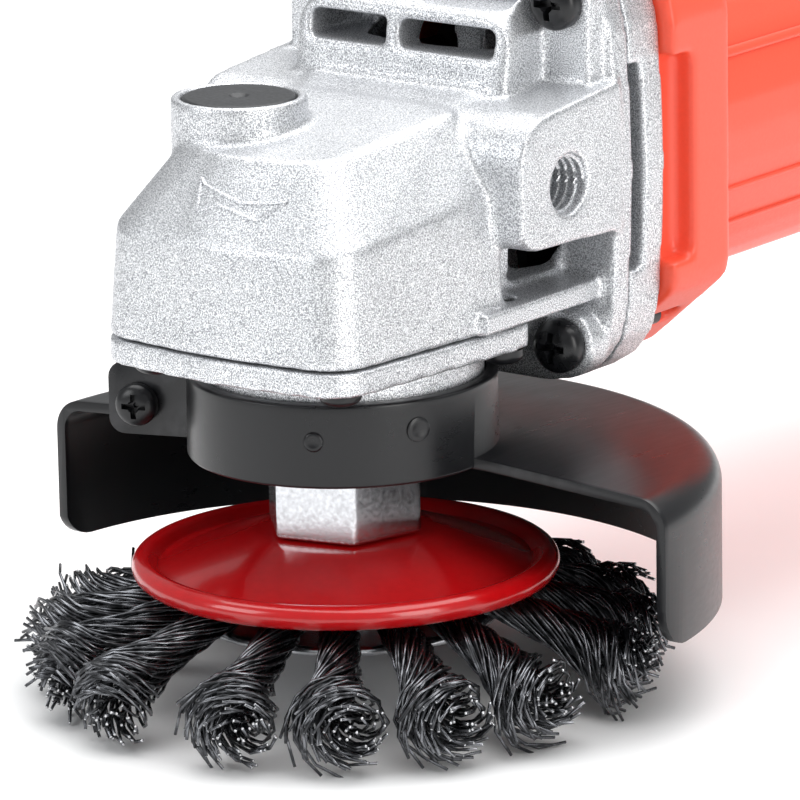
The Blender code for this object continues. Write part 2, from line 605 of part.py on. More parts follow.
def crown_gear(steel):
    """Face gear: radial teeth stand up from the rim; four holes in the web take the lock pin."""
    _, module, pinion_r = gear_sizes()
    tip_z = MOTOR_Z - pinion_r + 0.75 * module
    root_z = MOTOR_Z - pinion_r - 1.15 * module
    pitch = 2 * math.pi / GEAR_TEETH
    wave = []
    for tooth in range(GEAR_TEETH):
        middle = math.pi / 2 + tooth * pitch
        for share, z in ((-0.30, root_z), (-0.11, tip_z), (0.11, tip_z), (0.30, root_z)):
            wave.append((middle + share * pitch, z))

    def wavy(radius):
        return [(radius * math.cos(a), radius * math.sin(a), z) for a, z in wave]

    def flat(radius, z):
        return [(radius * math.cos(a), radius * math.sin(a), z) for a, _ in wave]

    bore = 7.0 * mm + GAP
    rings = [flat(bore, GEAR_BOTTOM), flat(GEAR_FACE_OUT, GEAR_BOTTOM + mm), wavy(GEAR_FACE_OUT),
             wavy(GEAR_FACE_IN), flat(GEAR_FACE_IN - 0.5 * mm, GEAR_WEB_TOP), flat(bore, GEAR_WEB_TOP)]
    gear = loft("crown_gear", rings, close=True)
    pin_angle = math.atan2(BOSS_Y, BOSS_X)
    holes = []
    for quarter in range(4):
        angle = pin_angle + quarter * math.pi / 2
        spot = (LOCK_PIN_AT * math.cos(angle), LOCK_PIN_AT * math.sin(angle))
        holes.append(rod("hole", LOCK_PIN_R + 2 * GAP, GEAR_BOTTOM - mm, GEAR_WEB_TOP + mm, "Z", spot, 14))
    return finish(cut(gear, *holes), steel)


def hub_nut(steel):
    radius = HUB_NUT_AF / math.sqrt(3)
    turn = math.radians(HUB_NUT_CORNER_DEG)
    nut = prism("hub_nut", circle(radius, 6, turn=turn), HUB_NUT_BOTTOM, HUB_NUT_TOP)
    wide = radius + 3.4 * mm
    crown = stack("crown", [(radius * 0.90, HUB_NUT_BOTTOM - mm), (wide, HUB_NUT_BOTTOM + 3.0 * mm),
                            (wide, HUB_NUT_TOP - 3.0 * mm), (radius * 0.90, HUB_NUT_TOP + mm)])
    nut = combine(nut, [crown], "INTERSECT")
    shank = stack("shank", [(HUB_SHANK_R + 2.6 * mm, HUB_END), (HUB_SHANK_R + 2.6 * mm, HUB_END + 1.6 * mm),
                            (HUB_SHANK_R, HUB_END + 1.6 * mm), (HUB_SHANK_R, HUB_NUT_BOTTOM + mm)])
    bore = rod("bore", THREAD_R + GAP, HUB_END - mm, HUB_NUT_TOP + mm)
    return finish(cut(join(nut, shank), bore), steel)


def plate_z(radius):
    """Top of the upper disc: flat under the nut, then gently coned, to the groove by the lip."""
    return HUB_NUT_BOTTOM - GAP - max(0.0, radius - DISC_FLAT_R) * DISC_SLOPE


def hub_discs(red, steel):
    bore = HUB_SHANK_R + GAP
    lip_mid = DISC_R - 2.0 * mm
    groove = DISC_R - 4.6 * mm
    top = [(bore, plate_z(0)), (DISC_FLAT_R, plate_z(0)), (groove, plate_z(groove))]
    lip = [(lip_mid + 2.0 * mm * math.cos(a), plate_z(groove) - 0.3 * mm + 1.7 * mm * math.sin(a))
           for a in (math.radians(d) for d in (130, 80, 30, -30, -90))]
    under = [(groove, plate_z(groove) - DISC_T), (DISC_FLAT_R, plate_z(0) - DISC_T),
             (bore, plate_z(0) - DISC_T)]
    finish(lathe("hub_disc_upper", top + lip + under, steps=36), red)
    low = HUB_END + 1.6 * mm + GAP
    lower = [(bore, low), (LOWER_DISC_R - mm, low), (LOWER_DISC_R, low + 0.6 * mm),
             (LOWER_DISC_R, low + DISC_T), (bore, low + DISC_T)]
    finish(lathe("hub_disc_lower", lower, steps=28), steel)


def knot_path(share):
    """Centre line of a knot from the hub to its tips, as (radius, height)."""
    start_r = 19.5 * mm
    end_r = BRUSH_R - 1.6 * mm
    radius = start_r + (end_r - start_r) * share
    return radius, -5.9 * mm - 11.0 * mm * share ** 1.15


def wire_knots(steel):
    """Twisted wire knots: round bundles that spread wide and thick at their tips."""
    stations = [(0.0, 2.6, 2.6), (0.2, 3.2, 2.6), (0.42, 3.7, 3.0), (0.62, 4.9, 4.2),
                (0.8, 6.6, 5.6), (0.93, 7.2, KNOT_TIP_T / mm), (1.0, 6.2, 4.8)]
    sides = 8
    for number in range(KNOT_COUNT):
        rings = []
        for share, half_w, half_t in stations:
            radius, height = knot_path(share)
            ring = []
            for step in range(sides):
                angle = 2 * math.pi * step / sides
                lean = 0.16 * half_t * mm * math.sin(angle)
                ring.append((radius + lean, half_w * mm * math.cos(angle),
                             height + half_t * mm * math.sin(angle)))
            rings.append(ring)
        knot = loft(f"wire_knot_{number + 1:02d}", rings)
        turn = math.radians(KNOT_START_DEG) + 2 * math.pi * number / KNOT_COUNT
        finish(turn_about(knot, turn), steel)


# ---------------------------------------------------------------- motor

def mid_flange_span():
    start = FLANGE_FRONT_Y + FLANGE_T + GAP
    return start, start + MID_FLANGE_T


def motor_flange(cast):
    start, end = mid_flange_span()
    plate = prism("motor_flange", flange_outline(), start, end, "Y")
    axis = (0.0, MOTOR_Z)
    seat_end = start + FRONT_BEARING[2] + GAP
    cuts = [rod("seat", FRONT_BEARING[0] + GAP, start - mm, seat_end, "Y", axis),
            rod("bore", FRONT_BEARING[1] + 1.5 * mm, start, end + mm, "Y", axis, 20)]
    for quarter in range(4):
        middle = 45.0 + 90.0 * quarter
        cuts.append(lathe("window", [(14.5 * mm, start - mm), (24.0 * mm, start - mm),
                                     (24.0 * mm, end + mm), (14.5 * mm, end + mm)],
                          "Y", axis, 8, middle - 36.0, middle + 36.0))
    for side in (-1, 1):
        slot_ends = sorted((side * 21.5 * mm, side * (FLANGE_HALF_W + mm)))
        cuts.append(box("slot", (slot_ends[0], start - mm, MOTOR_Z - SIDE_SLOT_HALF),
                        (slot_ends[1], start + SIDE_SLOT_W, MOTOR_Z + SIDE_SLOT_HALF)))
        for up in (-1, 1):
            spot = (side * HEAD_SCREW_X, MOTOR_Z + up * HEAD_SCREW_DZ)
            cuts.append(rod("hole", 2.3 * mm, start - mm, end + mm, "Y", spot, 16))
    return finish(cut(plate, *cuts), cast)


def collar_outline(half_w, half_h):
    """Rounded square with long chamfers along its lower corners."""
    low = MOTOR_Z - half_h
    high = MOTOR_Z + half_h
    corners = [(-half_w + 15 * mm, low), (half_w - 15 * mm, low), (half_w, low + 13 * mm), (half_w, high),
               (-half_w, high), (-half_w, low + 13 * mm)]
    return rounded(corners, [4 * mm, 4 * mm, 4 * mm, 12 * mm, 12 * mm, 4 * mm], 4)


def motor_housing(red):
    start = mid_flange_span()[1] + GAP
    end = start + COLLAR_LENGTH
    outline = collar_outline(COLLAR_HALF_W, COLLAR_HALF_H)
    inset = collar_outline(COLLAR_HALF_W - 1.6 * mm, COLLAR_HALF_H - 1.6 * mm)
    collar = loft("motor_housing", [place(outline, start, "Y"), place(outline, end - 2 * mm, "Y"),
                                    place(inset, end, "Y")])
    barrel = stack("barrel", [(BARREL_R, end - 4 * mm), (BARREL_R, BARREL_END_Y)], "Y", (0.0, MOTOR_Z), 36)
    axis = (0.0, MOTOR_Z)
    spigot_r = BARREL_R - WALL - 3 * GAP
    spigot_end = BARREL_END_Y + SPIGOT_LENGTH
    web_end = REAR_WEB_Y + REAR_WEB_T
    spigot = rod("spigot", spigot_r, BARREL_END_Y - mm, spigot_end, "Y", axis, 32)
    body = join(collar, barrel, spigot)
    cuts = [rod("front_room", BORE_R, start - mm, REAR_WEB_Y, "Y", axis, 32),
            rod("rear_room", spigot_r - 2.0 * mm, web_end, spigot_end + mm, "Y", axis, 32),
            rod("cover_screw_hole", COVER_SCREW_R + GAP, MOTOR_Z + spigot_r - 4 * mm,
                MOTOR_Z + BARREL_R, "Z", (0.0, BARREL_END_Y + SPIGOT_LENGTH / 2), 16),
            rod("rear_seat", REAR_BEARING[0] + GAP, REAR_WEB_Y - mm, web_end + mm, "Y", axis, 28)]
    for quarter in range(4):
        angle = math.pi / 4 + quarter * math.pi / 2
        spot = (17.5 * mm * math.cos(angle), MOTOR_Z + 17.5 * mm * math.sin(angle))
        cuts.append(rod("air", 4.5 * mm, REAR_WEB_Y - mm, web_end + mm, "Y", spot, 14))
    for side in (-1, 1):
        ends = sorted((side * (COLLAR_HALF_W - 4.0 * mm), side * (COLLAR_HALF_W + mm)))
        cuts.append(box("notch", (ends[0], start - mm, MOTOR_Z - SIDE_SLOT_HALF),
                        (ends[1], start + NOTCH_W, MOTOR_Z + SIDE_SLOT_HALF)))
        for up in (-1, 1):
            spot = (side * HEAD_SCREW_X, MOTOR_Z + up * HEAD_SCREW_DZ)
            cuts.append(rod("hole", 1.9 * mm, start - mm, start + 12 * mm, "Y", spot, 14))
    slit = box("slit", (-BARREL_R - 2 * mm, SLIDER_Y - SLIDER_TRAVEL - 3 * mm, MOTOR_Z - 3 * mm),
               (-BORE_R + 3 * mm, SLIDER_Y + 3 * mm, MOTOR_Z + 3 * mm))
    cuts.append(slit)
    return finish(cut(body, *cuts), red)


def rear_cover(red):
    start = BARREL_END_Y + GAP
    spigot_end = BARREL_END_Y + SPIGOT_LENGTH
    outer = [(BARREL_R, start), (BARREL_R - 0.6 * mm, start + 24 * mm),
             (TAIL_END_R + 2.6 * mm, TAIL_END_Y - 12 * mm),
             (TAIL_END_R, TAIL_END_Y - 4 * mm), (TAIL_END_R - 5 * mm, TAIL_END_Y)]
    body = stack("rear_cover", outer, "Y", (0.0, MOTOR_Z), 36)
    inner = [(BARREL_R - WALL, start - mm), (BARREL_R - WALL - 0.6 * mm, start + 24 * mm),
             (TAIL_END_R - 0.6 * mm, TAIL_END_Y - 12 * mm), (TAIL_END_R - 4.4 * mm, TAIL_END_Y - 4 * mm)]
    room = stack("room", inner, "Y", (0.0, MOTOR_Z), 28)
    hole = rod("hole", GLAND_R + GAP, TAIL_END_Y - 6 * mm, TAIL_END_Y + mm, "Y", (0.0, MOTOR_Z), 24)
    screw_at = (0.0, BARREL_END_Y + SPIGOT_LENGTH / 2)
    cuts = [room, hole,
            rod("screw_hole", COVER_SCREW_R + GAP, MOTOR_Z + BARREL_R - 5 * mm, MOTOR_Z + BARREL_R + mm,
                "Z", screw_at, 16),
            rod("screw_seat", 3.4 * mm + GAP, MOTOR_Z + BARREL_R - COVER_SCREW_SINK, MOTOR_Z + BARREL_R + mm,
                "Z", screw_at, 20)]
    for side in (-1, 1):
        for row in range(4):
            y = spigot_end + (2.0 + 5.0 * row) * mm
            ends = sorted((side * (BARREL_R - 6 * mm), side * (BARREL_R + 2 * mm)))
            cuts.append(box("vent", (ends[0], y, MOTOR_Z - 8 * mm),
                            (ends[1], y + 2.2 * mm, MOTOR_Z + 8 * mm)))
    return finish(cut(body, *cuts), red)


def tail_pieces(black):
    profile = [(4.2 * mm, TAIL_END_Y - 5.5 * mm), (GLAND_R + 2.0 * mm, TAIL_END_Y - 5.5 * mm),
               (GLAND_R + 2.0 * mm, TAIL_END_Y - 4.4 * mm), (GLAND_R, TAIL_END_Y - 4.4 * mm),
               (GLAND_R, TAIL_END_Y + GAP), (GLAND_R + 1.4 * mm, TAIL_END_Y + GAP),
               (GLAND_R + 0.6 * mm, TAIL_END_Y + 7 * mm), (4.2 * mm, TAIL_END_Y + 7 * mm)]
    finish(lathe("cord_gland", profile, "Y", (0.0, MOTOR_Z), 20), black)
    start = BARREL_END_Y - 6 * mm
    body = box("switch_body", (-9 * mm, start, MOTOR_Z - 13 * mm),
               (9 * mm, start + 30 * mm, MOTOR_Z + 13 * mm))
    finish(body, black)


def stator(iron, copper):
    end = STACK_START_Y + STACK_LENGTH
    yoke_in = STATOR_R - 3.0 * mm
    centre = (0.0, MOTOR_Z)
    core = lathe("stator_core", [(yoke_in, STACK_START_Y), (STATOR_R, STACK_START_Y), (STATOR_R, end),
                                 (yoke_in, end)], "Y", centre, 40)
    poles = []
    for middle in (90.0, 270.0):
        poles.append(lathe("pole", [(POLE_R, STACK_START_Y), (yoke_in + 0.8 * mm, STACK_START_Y),
                                    (yoke_in + 0.8 * mm, end), (POLE_R, end)], "Y", centre, 10,
                           middle - 30.0, middle + 30.0))
    finish(join(core, *poles), iron)
    coil_in = POLE_R + mm
    coil_out = yoke_in - GAP
    for number, middle in enumerate((90.0, 270.0)):
        block = [(coil_in, STACK_START_Y - 6 * mm), (coil_out, STACK_START_Y - 6 * mm),
                 (coil_out, end + 6 * mm), (coil_in, end + 6 * mm)]
        coil = lathe(f"field_coil_{number + 1}", block, "Y", centre, 14, middle - 62.0, middle + 62.0)
        opening = [(coil_in - mm, STACK_START_Y - 1.5 * mm), (coil_out + mm, STACK_START_Y - 1.5 * mm),
                   (coil_out + mm, end + 1.5 * mm), (coil_in - mm, end + 1.5 * mm)]
        window = lathe("window", opening, "Y", centre, 8, middle - 33.0, middle + 33.0)
        finish(cut(coil, window), copper)


def armature(steel, iron, copper, black):
    centre = (0.0, MOTOR_Z)
    rear = REAR_WEB_Y + REAR_WEB_T - 1.0 * mm
    nose_r = PINION_BORE_R - GAP
    nose_end = GEAR_FACE_OUT + 2 * mm
    shaft = stack("armature_shaft", [(nose_r, SHAFT_FRONT_Y), (nose_r, nose_end),
                                     (SHAFT_R, nose_end + mm), (SHAFT_R, rear)], "Y", centre, 24)
    finish(shaft, steel)
    bore = SHAFT_R + GAP
    end = STACK_START_Y + STACK_LENGTH
    slots = 12
    slot_r = ROTOR_R - 2 * mm
    tooth = ((-0.40, ROTOR_R), (0.0, ROTOR_R), (0.40, ROTOR_R), (0.44, slot_r), (0.56, slot_r))
    outline = []
    for slot in range(slots):
        middle = 2 * math.pi * slot / slots
        for share, radius in tooth:
            angle = middle + share * 2 * math.pi / slots
            outline.append((radius * math.cos(angle), MOTOR_Z + radius * math.sin(angle)))
    core = prism("rotor_core", outline, STACK_START_Y, end, "Y")
    coil_r = ROTOR_R - 2.6 * mm
    turn_r = ROTOR_R - 5.5 * mm
    winding = stack("winding", [(turn_r, STACK_START_Y - 6 * mm), (coil_r, STACK_START_Y - 4 * mm),
                                (coil_r, end + 4 * mm), (turn_r, end + 6 * mm)], "Y", centre, 24)
    core = cut(join(core, winding), rod("bore", bore, STACK_START_Y - 8 * mm, end + 8 * mm, "Y", centre, 24))
    finish(core, iron)
    segments = 16
    outline = []
    for segment in range(segments):
        middle = 2 * math.pi * segment / segments
        for share, radius in ((-0.42, COMMUTATOR_R), (0.42, COMMUTATOR_R), (0.5, COMMUTATOR_R - 0.4 * mm)):
            angle = middle + share * 2 * math.pi / segments
            outline.append((radius * math.cos(angle), MOTOR_Z + radius * math.sin(angle)))
    ring = prism("commutator", outline, COMMUTATOR_Y, COMMUTATOR_Y + COMMUTATOR_LENGTH, "Y")
    hole = rod("bore", bore, COMMUTATOR_Y - mm, COMMUTATOR_Y + COMMUTATOR_LENGTH + mm, "Y", centre, 24)
    finish(cut(ring, hole), copper)
    fan_y = mid_flange_span()[1] + 4 * mm
    hub = lathe("fan", [(bore, fan_y), (9 * mm, fan_y), (9 * mm, fan_y + 7 * mm), (FAN_R, fan_y + 8 * mm),
                        (FAN_R, fan_y + 9.5 * mm), (bore, fan_y + 9.5 * mm)], "Y", centre, 24)
    blades = []
    for number in range(FAN_BLADES):
        blade = box("blade", (8.5 * mm, fan_y, -0.8 * mm), (FAN_R - 0.6 * mm, fan_y + 8.6 * mm, 0.8 * mm))
        blade.data.transform(Matrix.Rotation(2 * math.pi * (number + 0.2) / FAN_BLADES, 4, "Y"))
        blades.append(put(blade, (0.0, 0.0, MOTOR_Z)))
    finish(join(hub, *blades), black)


def pinion(steel):
    """Straight pinion; a gap between two of its teeth faces the face gear's tooth below it."""
    _, module, pitch_r = gear_sizes()
    outline = []
    for tooth in range(PINION_TEETH):
        middle = -math.pi / 2 + (tooth + 0.5) * 2 * math.pi / PINION_TEETH
        for share, radius in ((-0.30, pitch_r - 1.15 * module), (-0.10, pitch_r + 0.75 * module),
                              (0.10, pitch_r + 0.75 * module), (0.30, pitch_r - 1.15 * module)):
            angle = middle + share * 2 * math.pi / PINION_TEETH
            outline.append((radius * math.cos(angle), MOTOR_Z + radius * math.sin(angle)))
    gear = prism("pinion", outline, SHAFT_FRONT_Y + 0.5 * mm, GEAR_FACE_OUT + mm, "Y")
    bore = rod("bore", PINION_BORE_R, SHAFT_FRONT_Y - mm, GEAR_FACE_OUT + 3 * mm, "Y", (0.0, MOTOR_Z), 24)
    return finish(cut(gear, bore), steel)


def carbon_brushes(brass, graphite):
    """A brush in its holder on each side of the commutator."""
    middle = COMMUTATOR_Y + COMMUTATOR_LENGTH / 2
    half_y = 5.0 * mm
    half_z = 3.4 * mm
    wall = 1.0 * mm
    for number, side in enumerate((-1, 1)):
        ends = sorted((side * (COMMUTATOR_R + 1.6 * mm), side * (BORE_R - 2.2 * mm)))
        holder = box(f"brush_holder_{number + 1}", (ends[0], middle - half_y - wall, MOTOR_Z - half_z - wall),
                     (ends[1], middle + half_y + wall, MOTOR_Z + half_z + wall))
        room = box("room", (ends[0] - mm, middle - half_y, MOTOR_Z - half_z),
                   (ends[1] + mm, middle + half_y, MOTOR_Z + half_z))
        finish(cut(holder, room), brass)
        ends = sorted((side * (COMMUTATOR_R + GAP), side * (COMMUTATOR_R + 10 * mm)))
        block = box(f"carbon_brush_{number + 1}", (ends[0], middle - half_y + GAP, MOTOR_Z - half_z + GAP),
                    (ends[1], middle + half_y - GAP, MOTOR_Z + half_z - GAP))
        finish(block, graphite)


# ---------------------------------------------------------------- controls and screws

def lock_button(black):
    """The button's disc, with its pin standing off-centre over the gear's web."""
    under = BOSS_TOP - 3.2 * mm
    disc = stack("lock_button", [(BUTTON_R, under), (BUTTON_R, BOSS_TOP - 0.6 * mm),
                                 (BUTTON_R - 0.5 * mm, BOSS_TOP - 0.1 * mm)], "Z", (BOSS_X, BOSS_Y), 32)
    pin = stack("pin", [(LOCK_PIN_R - 0.4 * mm, LOCK_PIN_END), (LOCK_PIN_R, LOCK_PIN_END + 0.6 * mm),
                        (LOCK_PIN_R, under + mm)], "Z", lock_pin_place(), 16)
    return finish(join(disc, pin), black)


def lock_spring(steel):
    """Coil spring round the pin, from the boss's floor to the button's underside."""
    low = BOSS_FLOOR + LOCK_SPRING_WIRE_R + GAP
    high = BOSS_TOP - 3.2 * mm - LOCK_SPRING_WIRE_R - GAP
    mean = LOCK_PIN_R + LOCK_SPRING_WIRE_R + 0.45 * mm
    x, y = lock_pin_place()
    per_turn = 10
    steps = LOCK_SPRING_TURNS * per_turn
    sides = 4
    rings = []
    for step in range(steps + 1):
        angle = 2 * math.pi * step / per_turn
        height = low + (high - low) * step / steps
        ring = []
        for side in range(sides):
            tilt = 2 * math.pi * side / sides
            radius = mean + LOCK_SPRING_WIRE_R * math.cos(tilt)
            ring.append((x + radius * math.cos(angle), y + radius * math.sin(angle),
                         height + LOCK_SPRING_WIRE_R * math.sin(tilt)))
        rings.append(ring)
    return finish(loft("lock_spring", rings), steel)


def switch_slider(black):
    """Slide switch on the left side, with a ribbed pad and a tongue through the housing's slit."""
    start = SLIDER_Y - SLIDER_LENGTH / 2
    low_x = -BARREL_R - 4.2 * mm
    plan = rounded_rect(SLIDER_LENGTH / 2, SLIDER_W / 2, 3 * mm, (SLIDER_Y, MOTOR_Z), 4)
    pad = prism("switch_slider", plan, low_x, -BARREL_R - 0.4 * mm, "X")
    tongue = box("tongue", (-BARREL_R - mm, SLIDER_Y - 2.6 * mm, MOTOR_Z - 2.6 * mm),
                 (-BORE_R + 1.0 * mm, SLIDER_Y + 2.6 * mm, MOTOR_Z + 2.6 * mm))
    grooves = []
    for row in range(4):
        y = start + (6.0 + 3.4 * row) * mm
        grooves.append(box("groove", (low_x - mm, y, MOTOR_Z - SLIDER_W),
                           (low_x + 1.0 * mm, y + 1.4 * mm, MOTOR_Z + SLIDER_W)))
    return finish(cut(join(pad, tongue), *grooves), black)


def fasteners(black, steel):
    number = 0
    for x, y in COVER_SCREWS:
        for side in (-1, 1):
            number += 1
            piece = screw(f"cover_screw_{number}", 3.2 * mm, 2.4 * mm, 1.6 * mm, COVER_SCREW_LENGTH, black)
            flip = Matrix.Rotation(math.pi, 4, "X")
            put(piece, (side * x, y, COVER_BOTTOM - GAP), flip)
    number = 0
    for up in (1, -1):
        for side in (-1, 1):
            number += 1
            piece = screw(f"head_screw_{number}", HEAD_SCREW_HEAD_R, 3.2 * mm, 1.7 * mm, 24 * mm, black)
            facing = Matrix.Rotation(math.radians(90.0), 4, "X")
            seat_y = FLANGE_FRONT_Y - COLUMN_H - GAP
            put(piece, (side * HEAD_SCREW_X, seat_y, MOTOR_Z + up * HEAD_SCREW_DZ), facing)
    cover_screw = screw("rear_cover_screw", 3.4 * mm, 1.8 * mm, COVER_SCREW_R, 6 * mm, black)
    seat_z = MOTOR_Z + BARREL_R - COVER_SCREW_SINK + GAP
    put(cover_screw, (0.0, BARREL_END_Y + SPIGOT_LENGTH / 2, seat_z))


def build():
    clear_scene()
    cast = make_material("cast_aluminium", (0.62, 0.64, 0.66), 0.42, 0.9)
    steel = make_material("bright_steel", (0.72, 0.73, 0.75), 0.25, 1.0)
    wire = make_material("dark_wire", (0.05, 0.05, 0.055), 0.35, 1.0)
    black = make_material("black_enamel", (0.012, 0.012, 0.014), 0.28, 0.0)
    dark = make_material("black_plastic", (0.02, 0.02, 0.022), 0.45, 0.0)
    red = make_material("red_housing", (0.85, 0.08, 0.05), 0.42, 0.0)
    gloss = make_material("red_lacquer", (0.55, 0.01, 0.01), 0.15, 0.0)
    iron = make_material("core_iron", (0.18, 0.18, 0.2), 0.5, 0.9)
    copper = make_material("copper", (0.72, 0.32, 0.14), 0.35, 1.0)
    brass = make_material("brass", (0.75, 0.55, 0.2), 0.35, 1.0)
    graphite = make_material("graphite", (0.03, 0.03, 0.03), 0.6, 0.2)

    gear_housing(cast)
    bearing_cover(cast)
    motor_flange(cast)
    motor_housing(red)
    rear_cover(red)
    tail_pieces(dark)
    guard_shell(black)
    clamp_pieces(black, steel)
    spindle(steel)
    crown_gear(steel)
    hub_nut(steel)
    hub_discs(gloss, steel)
    wire_knots(wire)
    bearing("spindle_bearing_lower", LOWER_BEARING, LOWER_BEARING_Z, "Z", (0.0, 0.0), steel)
    bearing("spindle_bearing_upper", UPPER_BEARING, UPPER_BEARING_Z, "Z", (0.0, 0.0), steel)
    flange_start = mid_flange_span()[0]
    bearing("armature_bearing_front", FRONT_BEARING, flange_start + GAP, "Y", (0.0, MOTOR_Z), steel)
    bearing("armature_bearing_rear", REAR_BEARING, REAR_WEB_Y + mm, "Y", (0.0, MOTOR_Z), steel)
    stator(iron, copper)
    armature(steel, iron, copper, dark)
    pinion(steel)
    carbon_brushes(brass, graphite)
    lock_button(dark)
    lock_spring(steel)
    switch_slider(dark)
    fasteners(black, steel)


build()
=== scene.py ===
"""Looks of an angle grinder with a bevelled knot brush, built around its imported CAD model."""
import json
import math
import random

import bmesh
import bpy
import numpy as np
from bpy.props import FloatProperty, FloatVectorProperty, IntProperty, PointerProperty
from bpy.types import Operator, Panel, PropertyGroup
from mathutils import Matrix, Vector
from mathutils.bvhtree import BVHTree


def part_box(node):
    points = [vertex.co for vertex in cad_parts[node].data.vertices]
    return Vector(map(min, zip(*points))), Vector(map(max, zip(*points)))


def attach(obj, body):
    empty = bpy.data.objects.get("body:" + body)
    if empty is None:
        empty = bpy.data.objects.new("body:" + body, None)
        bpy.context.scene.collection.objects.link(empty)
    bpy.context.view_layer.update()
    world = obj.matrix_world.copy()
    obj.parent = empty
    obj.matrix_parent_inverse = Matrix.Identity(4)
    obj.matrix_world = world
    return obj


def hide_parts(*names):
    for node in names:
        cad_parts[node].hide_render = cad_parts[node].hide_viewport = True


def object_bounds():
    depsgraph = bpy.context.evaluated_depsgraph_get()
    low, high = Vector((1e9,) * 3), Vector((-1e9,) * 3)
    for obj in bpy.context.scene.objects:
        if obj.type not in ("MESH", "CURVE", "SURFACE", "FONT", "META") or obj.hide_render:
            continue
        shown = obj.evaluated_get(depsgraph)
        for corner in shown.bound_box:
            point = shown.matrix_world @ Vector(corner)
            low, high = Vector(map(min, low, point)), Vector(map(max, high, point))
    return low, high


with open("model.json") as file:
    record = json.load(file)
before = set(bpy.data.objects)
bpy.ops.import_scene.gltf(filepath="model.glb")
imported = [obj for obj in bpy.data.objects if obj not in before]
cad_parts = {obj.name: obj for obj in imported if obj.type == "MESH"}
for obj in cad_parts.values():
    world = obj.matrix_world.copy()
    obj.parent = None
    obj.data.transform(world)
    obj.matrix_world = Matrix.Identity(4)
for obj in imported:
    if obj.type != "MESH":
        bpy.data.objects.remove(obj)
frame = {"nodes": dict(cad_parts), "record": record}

bl_info = {
    "name": "Angle grinder looks",
    "version": (1, 0, 0),
    "blender": (4, 5, 0),
    "location": "View3D > Sidebar > Grinder",
    "description": "Builds the visible surfaces and finishes of an angle grinder on its CAD frame",
    "category": "Object",
}

MM = 0.001
CAD_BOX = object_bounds()


# ---------------------------------------------------------------- places read from the frame

def node_points(name):
    """Vertices of a CAD node as an array, in the frame's metres."""
    mesh = frame["nodes"][name].data
    points = np.empty(len(mesh.vertices) * 3)
    mesh.vertices.foreach_get("co", points)
    matrix = np.array(frame["nodes"][name].matrix_world)
    return points.reshape(-1, 3) @ matrix[:3, :3].T + matrix[:3, 3]


def reach(name, axis_x=0.0, axis_y=0.0):
    """Greatest distance of a node's points from an upright axis."""
    points = node_points(name)
    return float(np.hypot(points[:, 0] - axis_x, points[:, 1] - axis_y).max())


def middle(name):
    low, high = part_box(name)
    return (low + high) / 2


MOTOR_Z = middle("armature_shaft").z
BAND_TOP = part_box("guard_shell")[1].z
GUARD_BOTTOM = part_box("guard_shell")[0].z
GUARD_R = reach("guard_shell")
BARREL_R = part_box("rear_cover")[1].x
HANDLE_HOLE = (16.5 * MM, MOTOR_Z + 1.0 * MM)
HANDLE_FACE = 31.0 * MM


# ---------------------------------------------------------------- sizes and colours

class GrinderCastings(PropertyGroup):
    fineness: FloatProperty(name="Fineness", description="Spacing of the castings' surface mesh",
                            default=0.55 * MM, min=0.3 * MM, unit="LENGTH")
    softness: IntProperty(name="Softness", description="Rounds of smoothing that round a casting's edges",
                          default=9, min=1)
    grain: FloatProperty(name="Grain", description="Grains per metre of the blasted surface",
                         default=5200.0, min=100.0)
    light: FloatVectorProperty(name="Light grain", description="Colour of the bright grains",
                               subtype="COLOR", default=(0.93, 0.94, 0.96), min=0, max=1)
    dark: FloatVectorProperty(name="Dark grain", description="Colour of the shaded pits",
                              subtype="COLOR", default=(0.30, 0.31, 0.33), min=0, max=1)


class GrinderMouldings(PropertyGroup):
    red: FloatVectorProperty(name="Housing red", description="Colour of the motor housing",
                             subtype="COLOR", default=(0.86, 0.085, 0.04), min=0, max=1)
    black: FloatVectorProperty(name="Moulded black", description="Colour of the button, slider and gland",
                               subtype="COLOR", default=(0.022, 0.023, 0.025), min=0, max=1)
    texture: FloatProperty(name="Texture", description="Pits per metre of the moulded skin",
                           default=1800.0, min=100.0)


class GrinderBrush(PropertyGroup):
    wires: IntProperty(name="Wires in a knot", description="How many wires are twisted into each knot",
                       default=72, min=12)
    wire_width: FloatProperty(name="Wire width", description="Diameter of one wire",
                              default=0.5 * MM, min=0.1 * MM, unit="LENGTH")
    twist: FloatProperty(name="Twist", description="Turns of a knot from the hub to its tips",
                         default=0.8, min=0.0)
    lacquer: FloatVectorProperty(name="Hub lacquer", description="Colour of the brush's hub discs",
                                 subtype="COLOR", default=(0.48, 0.004, 0.006), min=0, max=1)
    wire: FloatVectorProperty(name="Wire", description="Colour of the drawn wire",
                              subtype="COLOR", default=(0.20, 0.205, 0.22), min=0, max=1)


class GrinderGuard(PropertyGroup):
    sheet: FloatProperty(name="Sheet", description="Thickness of the guard's pressed sheet",
                         default=1.6 * MM, min=0.5 * MM, unit="LENGTH")
    enamel: FloatVectorProperty(name="Enamel", description="Colour of the guard's enamel",
                                subtype="COLOR", default=(0.0065, 0.0068, 0.008), min=0, max=1)


